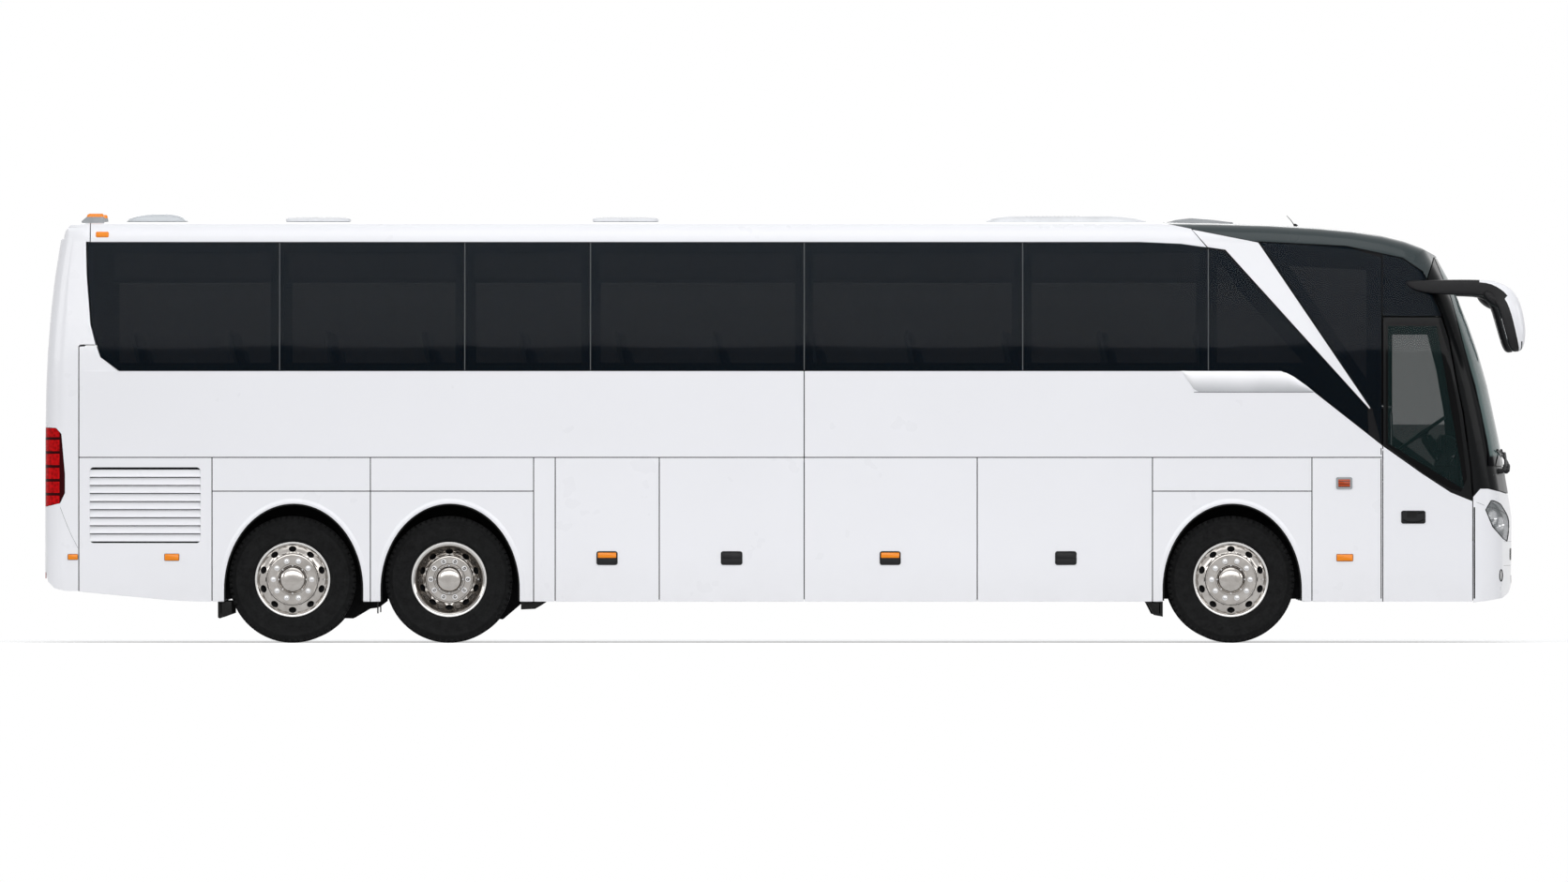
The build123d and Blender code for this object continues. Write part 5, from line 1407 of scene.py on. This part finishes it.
mirrorStations = (  # inner edge, colour break and outer edge (x, z), half width, distance from the middle
    ((5.25, 3.052), (5.247, 3.062), (5.25, 3.067), 0.02, 1.205),
    ((5.3, 2.985), (5.3, 3.055), (5.3, 3.071), 0.042, 1.218),
    ((5.48, 2.955), (5.48, 3.055), (5.48, 3.075), 0.056, 1.236),
    ((5.7, 2.947), (5.7, 3.058), (5.7, 3.08), 0.062, 1.256),
    ((5.895, 2.943), (5.893, 3.06), (5.89, 3.077), 0.07, 1.29),
    ((5.945, 2.925), (5.975, 3.042), (5.995, 3.07), 0.084, 1.322),
    ((5.99, 2.89), (6.052, 2.998), (6.092, 3.038), 0.102, 1.346),
    ((6.026, 2.838), (6.108, 2.945), (6.172, 2.976), 0.113, 1.362),
    ((6.046, 2.765), (6.15, 2.872), (6.222, 2.884), 0.118, 1.369),
    ((6.078, 2.656), (6.184, 2.753), (6.255, 2.746), 0.118, 1.37),
    ((6.108, 2.55), (6.208, 2.639), (6.266, 2.641), 0.116, 1.37),
    ((6.128, 2.5), (6.226, 2.545), (6.261, 2.56), 0.108, 1.37),
    ((6.15, 2.47), (6.228, 2.492), (6.246, 2.505), 0.086, 1.37),
    ((6.176, 2.464), (6.212, 2.468), (6.222, 2.474), 0.045, 1.37),
)
mirrorGlass = {"down": (0.062, 0, -0.223), "middle": (6.078, 0, 2.66), "y": 1.37, "width": 0.196, "tall": 0.206,
               "levels": ((-0.018, 0.0), (-0.006, 0.0), (-0.003, 0.003), (-0.003, 0.008), (-0.0055, 0.01))}
breakShare = 0.62  # where the colour changes between the inner and outer edge


def mirrorRing(station, side):
    (x0, z0), (xm, zm), (x1, z1), half, y = station
    ring = []
    for c, s in circle(28):  # c runs from the inner edge to the outer, s across
        across = copysign(abs(s) ** 0.62, s)
        along = c ** 0.8 if c > 0 else -abs(c) ** 0.28  # nearly flat where the glass sits
        t = (along + 1) / 2
        if t < breakShare:
            x, z = x0 + (xm - x0) * t / breakShare, z0 + (zm - z0) * t / breakShare
        else:
            past = t - breakShare
            x, z = xm + (x1 - xm) * past / 0.38, zm + (z1 - zm) * past / 0.38
        ring.append((x, side * (y + half * across), z))
    return ring


def addMirror(side):
    bm, glass, wide = bmesh.new(), bmesh.new(), bmesh.new()
    addLoft(bm, [mirrorRing(station, side) for station in mirrorStations])
    for face in bm.faces:  # the outer shell is white from the bend down
        middle = face.calc_center_median()
        if middle.x > 5.892:
            near = min(mirrorStations[4:], key=lambda s: (s[1][0] - middle.x) ** 2 + (s[1][1] - middle.z) ** 2)
            (x0, z0), (xm, zm) = near[0], near[1]
            out = (middle.x - xm) * (xm - x0) + (middle.z - zm) * (zm - z0)
            face.material_index = 1 if out > -0.0002 else 0
    made = shaped(meshFrom(bm), ("SUBSURF", {"levels": 1, "render_levels": 1}))
    addMeshPiece("mirror" + word[side], made, [blackPlastic, cleanWhite], "coach",
                 ("mirrors",), 60)
    g = mirrorGlass
    down = Vector(g["down"]).normalized()
    rear = Vector((down.z, 0, -down.x))
    middle = Vector(g["middle"]) + Vector((0, side * g["y"], 0))
    addLoft(glass, [[middle + Vector((0, a, 0)) - down * b + rear * lift
                     for a, b in roundedRect(0, 0, g["width"] - 2 * pull, g["tall"] - 2 * pull, 0.03 - pull)]
                    for lift, pull in g["levels"]])
    glass.normal_update()
    for face in glass.faces:  # the edge of the glass is black
        face.material_index = 0 if abs(face.normal.dot(rear)) > 0.5 else 1
    addPiece("mirrorGlass" + word[side], glass, [chrome, blackPlastic], crease=50)
    rings = []
    for k in range(13):  # the wide-angle head under the bend
        reach = -cos(pi * k / 12)
        size = max(0.02, (1 - reach ** 2) ** 0.42)
        rings.append([(6.0 + 0.088 * reach + 0.056 * size * c * 0.55, side * (1.356 + 0.09 * size * s),
                       2.912 - 0.062 * reach + 0.056 * size * c * 0.83) for c, s in circle(28)])
    addLoft(wide, rings)
    addPiece("wideMirror" + word[side], wide, blackPlastic, crease=50)


for side in (right, left):
    addMirror(side)
print("mirrors hung")


# the roof: hatches, the long pod, the domed hatch, the wedge, beacons and the aerial

podTop, domeTop, wedgeTop, domeFoot = 3.618, 3.6405, 3.604, 3.585
domeTurns = [(k, sin(pi / 12 * k), 1 - cos(pi / 12 * k)) for k in range(1, 7)]
# each unit as x0, x1, half width, corner radius and a stack of (height, inset, pull of its rear and front ends)
roofUnits = (
    ("roofPod", roofWhite, (1.705, 3.06, 0.55, 0.12), (
        (3.556, 0, 0, 0), (3.578, 0.002, 0, 0), (3.6, 0.012, 0.03, 0.06), (podTop - 0.004, 0.03, 0.09, 0.16),
        (podTop, 0.044, 0.12, 0.2)), "roof_plastic", ("roof_units",), 40),
    ("roofDome", smokedDome, (-5.592, -5.084, 0.325, 0.12), [(3.562, 0.0, 0, 0), (domeFoot, 0.004, 0, 0)] + [
        (domeFoot + (domeTop - domeFoot) * rise, 0.004 + 0.085 * fall, 0.16 * fall, 0.01 * k)
        for k, rise, fall in domeTurns], "clear_glass", (), 60),
    ("roofDomeRim", greyPlastic, (-5.598, -5.08, 0.331, 0.12), (
        (3.56, 0, 0, 0), (3.5775, 0, 0, 0), (3.5795, 0.003, 0, 0)), None, (), 40),
    ("roofWedge", greyPlastic, (3.24, 3.812, 0.29, 0.06), (
        (3.545, 0, 0, 0), (3.57, 0.002, 0, 0.01), (3.59, 0.012, 0.06, 0.16), (wedgeTop - 0.002, 0.028, 0.14, 0.3),
        (wedgeTop, 0.04, 0.17, 0.34)), None, (), 40),
)
roofHatches = (("Rear", -3.97, 0.548), ("Front", -1.358, 0.56))
hatchStack = ((3.5745, 0.004), (3.5905, 0.0), (3.6005, 0.004), (3.6068, 0.022), (3.6088, 0.06), (3.6068, 0.066),
              (3.6068, 0.076), (3.6118, 0.084), (3.6128, 0.12))
beaconSteps = (  # each part's rows of rear end, front end and height
    ((-5.966, -5.773, 3.552), (-5.966, -5.773, 3.576), (-5.925, -5.777, 3.611)),
    ((-5.924, -5.778, 3.611), (-5.916, -5.78, 3.632), (-5.9, -5.788, 3.6395)))
edgeLamp = {"x": -5.786, "low": 3.434, "high": 3.486,
            "levels": ((-0.012, 0.0), (0.004, 0.0), (0.01, 0.004), (0.0125, 0.012))}


def addStack(name, finish, size, levels, body="coach", stands=(), crease=40):
    x0, x1, half, radius = size
    bm, rings = bmesh.new(), []
    for z, inset, rearPull, frontPull in levels:
        a, b = x0 + inset + rearPull, x1 - inset - frontPull
        rings.append([(x, y, z) for x, y in roundedRect((a + b) / 2, 0, b - a, 2 * (half - inset),
                                                        max(0.01, radius - inset), 6)])
    addLoft(bm, rings)
    addPiece(name, bm, finish, body, stands, crease)


def addRoofLamps(side):
    beacon, lamp, e = bmesh.new(), bmesh.new(), edgeLamp
    for look, rows in enumerate(beaconSteps):
        addLoft(beacon, [[(x, side * 0.86 + y, z) for x, y in roundedRect((a + b) / 2, 0, b - a, 0.13, 0.016, 4)]
                         for a, b, z in rows], look)
    addPiece("roofBeacon" + word[side], beacon, [greyPlastic, amberLens], crease=40)
    low, high = (sideTouch("roof_skin", side, e["x"], z) for z in (e["low"], e["high"]))
    tilt = (high - low).normalized()
    out = Vector((0, side * tilt.z, -tilt.y * side)).normalized()
    addLoft(lamp, [[(low + high) / 2 + out * lift + tilt * b + Vector((a, 0, 0))
                    for a, b in roundedRect(0, 0, 0.11 - 2 * pull, 0.053 - 2 * pull, 0.012, 4)]
                   for lift, pull in e["levels"]])
    addPiece("roofEdgeLamp" + word[side], lamp, amberLens, crease=40)


for name, finish, size, levels, slot, stands, crease in roofUnits:
    addStack(name, finish, size, levels, "coach", stands, crease)
    if name == "roofPod":
        vent = repeat(rowTree, blockUnit(0.56, 0.01, -0.003, 0.004, 0.001), blackPlastic,
                      axesAt(((0, 1, 0), (0, 0, 1), (1, 0, 0))), Copies=14, Start=(podTop - 0.001, 2.05, 0.0),
                      Step=(0.0, 0.034, 0.0))
        addMeshPiece("roofPodVent", vent, blackPlastic)
for name, middle, length in roofHatches:
    body = "roof_hatch_" + name.lower()
    addStack("roofHatch" + name, roofWhite, (middle - length / 2, middle + length / 2, 0.36, 0.06),
             [(z, inset, 0, 0) for z, inset in hatchStack], body, (body,))
for side in (right, left):
    addRoofLamps(side)
aerial, foot = bmesh.new(), touch(["front_roof_cap"], (4.332, 0.0, 9), (0, 0, -1))
addBar(aerial, [foot + Vector(p) for p in ((0.012, 0, -0.004), (0.0, 0, 0.012), (-0.012, 0, 0.018))],
       [0.02, 0.014, 0.006], 16)
addBar(aerial, [foot + Vector((-0.008, 0, 0.014)), (4.3, 0, foot.z + 0.05), (4.262, 0, 3.628)],
       [0.0035, 0.003, 0.002], 8)
addPiece("aerial", aerial, blackPlastic, crease=50)
print("roof finished")


# the cabin: seats with inflated cushions, the driver's place, rails and racks

seatSizes = {
    "floor": 1.6, "firstX": -5.45, "pitch": 0.82, "rows": 12, "places": (-0.91, -0.47, 0.47, 0.91),
    "armRests": (-0.69, -0.246, 0.246, 0.69), "width": 0.425, "voxel": 0.017, "pressure": 4.0, "cap": 0.016,
    "driver": (4.89, 0.64, 1.05), "driverWide": 1.15, "clothFrames": 20,
}
# each pad's two (x, z) edges, thickness, share of the width, sewn channels and bolster
padShapes = (((0.115, 0.392), (0.47, 0.396), 0.088, 1.0, 3, 0.012),
             ((0.092, 0.45), (-0.022, 0.9), 0.085, 1.0, 4, -0.018),
             ((-0.028, 0.905), (-0.058, 1.03), 0.07, 0.78, 0, -0.012))


# swells a closed mesh like a stuffed cushion, with no gravity, and caps how far a point may move
def puffed(mesh, voxel, cap, finer=0):
    host = hosted(mesh)
    remesh = host.modifiers.new("remesh", "REMESH")
    remesh.mode, remesh.voxel_size = "VOXEL", voxel
    start = evaluated(host)
    host.modifiers.clear()
    host.data = start
    rest = [vert.co.copy() for vert in start.vertices]
    cloth = host.modifiers.new("cloth", "CLOTH")
    cloth.settings.use_pressure = True
    cloth.settings.uniform_pressure_force = seatSizes["pressure"]
    cloth.settings.effector_weights.gravity = 0
    cloth.settings.quality = 5
    last = seatSizes["clothFrames"]
    cloth.point_cache.frame_start, cloth.point_cache.frame_end = 1, last
    for frameNumber in range(1, last + 1):
        scene.frame_set(frameNumber)
    swollen = evaluated(host)
    host.modifiers.clear()
    scene.frame_set(1)
    for vert, at in zip(swollen.vertices, rest):
        move = vert.co - at
        if move.length > cap:
            vert.co = at + move * (cap / move.length)
    host.data = swollen
    steps = [("SMOOTH", {"iterations": 3, "factor": 0.5})]
    if finer:
        steps.append(("SUBSURF", {"levels": finer, "render_levels": finer}))
    made = shaped(host.data, *steps)
    bpy.data.objects.remove(host)
    return made


# a slab between two (x, z) edges, its corners drawn in, with sewn channels pressed across it
def padBlank(front, back, thick, width, channels=0, rise=0.0):
    (x0, z0), (x1, z1) = front, back
    length = hypot(x1 - x0, z1 - z0)
    along = Vector(((x1 - x0) / length, 0, (z1 - z0) / length))
    normal = Vector((-along.z, 0, along.x))
    bm, rings, steps = bmesh.new(), [], 14
    for i in range(steps + 1):
        t = i / steps
        pull = 1 - 0.1 * abs(2 * t - 1) ** 4
        press = 1 - (0.12 if channels and abs((t * channels) % 1.0 - 0.5) > 0.42 and 0.05 < t < 0.95 else 0.0)
        ring = []
        for c, s in circle(20):
            u, v = (copysign(abs(n) ** 0.55, n) for n in (c, s))
            bolster = rise * abs(u) ** 3 if v > 0 else 0.0
            place = Vector((x0, 0, z0)) + along * (length * t) + normal * (v * thick / 2 * press * pull + bolster)
            ring.append((place.x, u * width / 2 * pull, place.z))
        rings.append(ring)
    addLoft(bm, rings)
    return meshFrom(bm)


# cushion, back and headrest
def seatPads(voxel, cap, finer=0, wide=1.0):
    width = seatSizes["width"] * wide - 0.03
    return [puffed(padBlank(front, back, thick, width * share, channels, rise), voxel, cap, finer)
            for front, back, thick, share, channels, rise in padShapes]


# moulded shell behind the back, a pan under the cushion and two legs on a plinth
def seatShell(wide=1.0):
    bm, rings, half = bmesh.new(), [], seatSizes["width"] * wide / 2
    for x, z, thick in ((0.05, 0.35, 0.016), (0.02, 0.52, 0.018), (-0.022, 0.72, 0.018), (-0.062, 0.9, 0.018),
                        (-0.086, 1.005, 0.014), (-0.078, 1.048, 0.008)):
        pull = 0.9 if z > 1.0 else 1.0
        rings.append([(x - thick + 0.01 * abs(y / half) ** 2, y * pull, z)
                      for y in (-half, -half * 0.5, 0, half * 0.5, half)]
                     + [(x + thick, y * pull, z) for y in (half, 0, -half)])
    addLoft(bm, rings)
    addBlock(bm, (0.05, -half + 0.01, 0.318), (0.478, half - 0.01, 0.35), 0.01)
    for y in (-0.12, 0.12):
        addBar(bm, [(0.26, y, 0.325), (0.255, y, 0.16), (0.235, y, 0.03)], [0.022, 0.018, 0.018], 10)
    addBlock(bm, (0.13, -0.15, 0.001), (0.345, 0.15, 0.03), 0.008)
    return meshFrom(bm)


def armRest():
    bm = bmesh.new()
    addBar(bm, curved([(0.05, 0, 0.6), (0.12, 0, 0.625), (0.26, 0, 0.628), (0.345, 0, 0.622)], 4), 0.02, 12,
           flat=0.7)
    addBar(bm, [(0.06, 0, 0.606), (0.066, 0, 0.4)], 0.01, 8)
    return meshFrom(bm)


def addSeats():
    s = seatSizes
    cushion, back, head = seatPads(s["voxel"], s["cap"])
    for name, unit, finish, fill, places in (
            ("Cushions", cushion, seatCloth, 0.75, s["places"]), ("Backs", back, seatCloth, 0.7, s["places"]),
            ("Headrests", head, headCloth, 0.7, s["places"]),
            ("Shells", seatShell(), greyPlastic, None, s["places"]),
            ("Armrests", armRest(), blackPlastic, None, s["armRests"])):
        meshes = [repeat(rowTree, unit, finish, None, Copies=s["rows"], Start=(s["firstX"], y, s["floor"]),
                         Step=(s["pitch"], 0.0, 0.0)) for y in places]
        piece = addMeshPiece("seat" + name, joinMeshes(meshes), finish, "coach",
                             ("passenger_seats",), 60)


def addDriverSeat():
    s = seatSizes
    x, y, z = s["driver"]
    place = Matrix.Translation(s["driver"])
    for name, unit in zip(("Cushion", "Back", "Headrest"), seatPads(0.014, 0.02, 1, s["driverWide"])):
        unit.transform(place)
        piece = addMeshPiece("driver" + name, unit, seatCloth, "coach", ("driver_seat",), 60)
    shell, bm = seatShell(s["driverWide"]), bmesh.new()
    shell.transform(place)
    addMeshPiece("driverShell", shell, blackPlastic, crease=40)
    sizes = [0.3 if k % 2 else 0.262 for k in range(9)]  # the pleated suspension boot
    addLoft(bm, [[(x + 0.245 + a, y + b, z + 0.006 + 0.038 * k) for a, b in roundedRect(0, 0, size, size, 0.05, 4)]
                 for k, size in enumerate(sizes)])
    addPiece("driverSeatBoot", bm, rubber, crease=50)


addSeats()
addDriverSeat()
print("seats placed")


steering = {
    "hub": (5.42, 0.64, 1.79), "lean": 35.0, "rim": 0.225, "grip": 0.0145, "spokes": (0.0, 2.0944, 4.18879),
    # distance from the hub, half width, height and thickness along a spoke, then the pad's section
    "spoke": ((0.03, 0.036, -0.01, 0.016), (0.11, 0.024, -0.017, 0.011), (0.212, 0.03, -0.013, 0.01)),
    "pad": ((0.0002, 0.012), (0.035, 0.011), (0.055, 0.006), (0.062, -0.004), (0.058, -0.016), (0.052, -0.038),
            (0.0002, -0.038)),
}


# everything here is drawn about the hub, with Z along the column, and then leaned
def addSteeringWheel():
    s, bm, rings = steering, bmesh.new(), []
    for k, (c, d) in enumerate(circle(64)):
        swell = 1.0 + (0.1 if k % 16 in (0, 1, 15) else 0.0)
        rings.append([((s["rim"] + s["grip"] * swell * a) * c, (s["rim"] + s["grip"] * swell * a) * d,
                       -0.013 + s["grip"] * b) for a, b in circle(14)])
    addLoft(bm, rings, 0, loop=True)
    for turn in s["spokes"]:
        c, d = cos(turn), sin(turn)
        addLoft(bm, [[(r * c - b * half * d, r * d + b * half * c, z + t * thick / 2)
                      for b, t in ((-1, -1), (1, -1), (0.8, 1), (-0.8, 1))] for r, half, z, thick in s["spoke"]])
    addLoft(bm, [[(r * c, r * d, z) for c, d in circle(40)] for r, z in s["pad"]])
    mesh = meshFrom(bm)
    lean = Matrix.Rotation(-radians(s["lean"]), 4, "Y") @ Matrix.Rotation(radians(90), 4, "Z")
    mesh.transform(Matrix.Translation(s["hub"]) @ lean)
    addMeshPiece("steeringWheel", mesh, blackPlastic, "steering_wheel", ("steering_wheel",), 40)


hoodSection = ((5.56, 1.632), (5.548, 1.7), (5.575, 1.745), (5.68, 1.735), (5.78, 1.66), (5.8, 1.632))
hoodRows = ((0.4, 0.0), (0.44, 0.012), (0.64, 0.022), (0.84, 0.012), (0.88, 0.0))  # y and extra height
dials = ((0.52, 0.052), (0.64, 0.038), (0.76, 0.052))  # y and radius


# instrument hood, centre screen and vents standing on the dash top, with dials, keys and the column's stalks
def addDashFittings():
    bm, faces, stalk = bmesh.new(), bmesh.new(), bmesh.new()
    addLoft(bm, [[(x, y, z + (lift if 0 < k < 4 else 0)) for k, (x, z) in enumerate(hoodSection)]
                 for y, lift in hoodRows])
    addBlock(bm, (5.575, 0.02, 1.63), (5.625, 0.3, 1.76), 0.012)
    addBlock(bm, (5.69, -0.29, 1.628), (5.86, -0.06, 1.7), 0.03, 3)
    addBar(bm, curved([(5.9, -0.18, 1.63), (5.9, -0.18, 1.68), (5.885, -0.18, 1.72)], 4), 0.02, 10)
    addPiece("dashHood", bm, dashGrain, "coach", crease=40)
    addPlate(faces, roundedRect(0.16, 1.697, 0.23, 0.1, 0.01), 5.576, 5.5735, 0.0, 0, "X")
    for y, r in dials:
        addPlate(faces, [(y + r * c, 1.688 + r * s * 0.9) for c, s in circle(32)], 5.562, 5.546, 0.002, 0, "X")
    addPiece("dashDials", faces, blackGloss, crease=40)
    keys = repeat(rowTree, blockUnit(0.02, 0.026, -0.003, 0.004, 0.002), greyPlastic,
                  axesAt(((-1, 0, 0), (0, 1, 0), (0, 0, -1))), Copies=7, Start=(-5.545, 0.07, -1.56),
                  Step=(0.0, 0.034, 0.0))
    addMeshPiece("dashKeys", keys, greyPlastic)
    for y, end in ((0.6, 0.44), (0.68, 0.84)):
        addBar(stalk, [(5.475, y, 1.735), (5.462, (y + end) / 2, 1.75), (5.455, end, 1.76)],
               [0.008, 0.007, 0.011], 10)
    addBar(stalk, [(5.455, 0.64, 1.742), (5.52, 0.64, 1.655), (5.6, 0.64, 1.56)], [0.048, 0.056, 0.062], 20)
    addPiece("columnShroud", stalk, dashGrain, crease=50)


handRails = (  # guides, steps between them, radius
    ([(4.76, -0.4, 1.05), (4.76, -0.4, 1.9), (4.8, -0.4, 2.0), (5.1, -0.395, 2.0),
      (5.14, -0.395, 1.9), (5.14, -0.395, 1.052)], 8, 0.016),
    ([(5.745, -0.52, 1.05), (5.745, -0.52, 1.5), (5.7, -0.52, 1.58), (5.64, -0.5, 1.5),
      (5.64, -0.43, 1.052)], 6, 0.014))
rackSection = ((1.15, 3.08), (1.15, 3.3), (1.12, 3.32), (0.86, 3.2), (0.79, 3.14), (0.775, 3.1),
               (0.8, 3.075), (1.0, 3.06))


def addCabinFittings():
    bars, racks, panels = bmesh.new(), bmesh.new(), bmesh.new()
    for guides, steps, radius in handRails:
        addBar(bars, curved(guides, steps), radius, 12)
    addPiece("handRails", bars, brightSteel, crease=60)
    for side in (right, left):
        addLoft(racks, [[(x, side * y, z) for y, z in rackSection] for x in (-5.7, -2.0, 1.0, 4.2)])
    addPiece("parcelRacks", racks, trimBeige, crease=30)
    for y0, y1 in ((-0.38, -1.18), (0.3, 1.18)):
        addBlock(panels, (4.64, y0, 1.6), (4.668, y1, 2.26), 0.012)
    addPiece("modestyPanels", panels, dashGrain, crease=40)


addSteeringWheel()
addDashFittings()
addCabinFittings()
print("cabin fitted")


# stage, light and camera

floorFade = {"halfX": 9.5, "halfY": 6.0, "near": 0.8, "far": 1.6, "glow": 0.5, "size": 80,
             "colour": (0.62, 0.62, 0.62)}


# 1 where the camera sees this, directly or in a reflection or through glass
def seenByEye(tree):
    path = addNode(tree, "ShaderNodeLightPath")
    return combined("MAXIMUM", [path.outputs[f"Is {kind} Ray"] for kind in ("Camera", "Glossy", "Transmission")])


def addStage():
    f = floorFade
    look = Look("studioFloor", 0.9, specular=0.0)
    away = lengthOf(calculate("DIVIDE", look.x, f["halfX"]), calculate("DIVIDE", look.y, f["halfY"]))
    away = ramp(away, f["near"], f["far"])
    put(look.sockets["Emission Color"], (1, 1, 1, 1))
    glow = calculate("MULTIPLY", seenByEye(look.tree), ramp(away, 0.0, 1.0, f["glow"], 1.0))
    put(look.sockets["Emission Strength"], glow)
    bm = bmesh.new()
    bmesh.ops.create_grid(bm, x_segments=2, y_segments=2, size=f["size"])
    floor = hosted(meshFrom(bm, False))
    floor.name = floor.data.name = "studioFloor"
    floor.data.materials.append(look.close(blendColour(ramp(away, 0.0, 1.0), f["colour"], (0.0, 0.0, 0.0))))


def addWorld():
    world = bpy.data.worlds.new("studio")
    world.use_nodes = True
    scene.world = world
    tree = world.node_tree
    tree.nodes.clear()
    soft = addNode(tree, "ShaderNodeBackground", {"Color": (0.96, 0.98, 1, 1), "Strength": worldLight})
    white = addNode(tree, "ShaderNodeBackground", {"Color": (1, 1, 1, 1), "Strength": 1.0})
    mix = addNode(tree, "ShaderNodeMixShader", {0: seenByEye(tree), 1: soft.outputs[0], 2: white.outputs[0]})
    addNode(tree, "ShaderNodeOutputWorld", {"Surface": mix.outputs[0]})


def addLamp(name, place, aim, width, depth, power):
    lamp = bpy.data.lights.new(name, "AREA")
    lamp.shape = "RECTANGLE"
    lamp.size, lamp.size_y, lamp.energy = width, depth, power
    holder = bpy.data.objects.new(name, lamp)
    holder.location = place
    holder.rotation_euler = (Vector(aim) - Vector(place)).to_track_quat("-Z", "Y").to_euler()
    scene.collection.objects.link(holder)


cameraSet = {"distance": 300.0, "height": 1.711, "across": -0.012, "frameWidth": 13.276, "sidePlane": 1.275,
             "sensor": 36, "farthest": 1500}
worldLight = 0.6
lampSet = (
    ("topSoft", (0, -6, 13), (0, 0, 1.5), 16, 8, 500),
    ("sideSoft", (0, -18, 7), (0, 0, 1.6), 30, 6, 1640),
    ("farSoft", (-2, 16, 8), (0, 0, 1.8), 16, 6, 560),
    ("noseSoft", (18, -6, 6), (4, 0, 1.6), 8, 5, 420),
    ("tailSoft", (-18, -6, 6), (-4, 0, 1.6), 8, 5, 380),
)


def addCamera():
    c = cameraSet
    lens = bpy.data.cameras.new("camera")
    lens.sensor_width = c["sensor"]
    lens.lens = c["sensor"] * (c["distance"] - c["sidePlane"]) / c["frameWidth"]
    lens.clip_end = c["farthest"]
    holder = bpy.data.objects.new("camera", lens)
    holder.location = (c["across"], -c["distance"], c["height"])
    holder.rotation_euler = (radians(90), 0, 0)
    scene.collection.objects.link(holder)
    scene.camera = holder


addStage()
addWorld()
for lampRow in lampSet:
    addLamp(*lampRow)
addCamera()
scene.view_settings.view_transform = "Standard"

print("stage set")
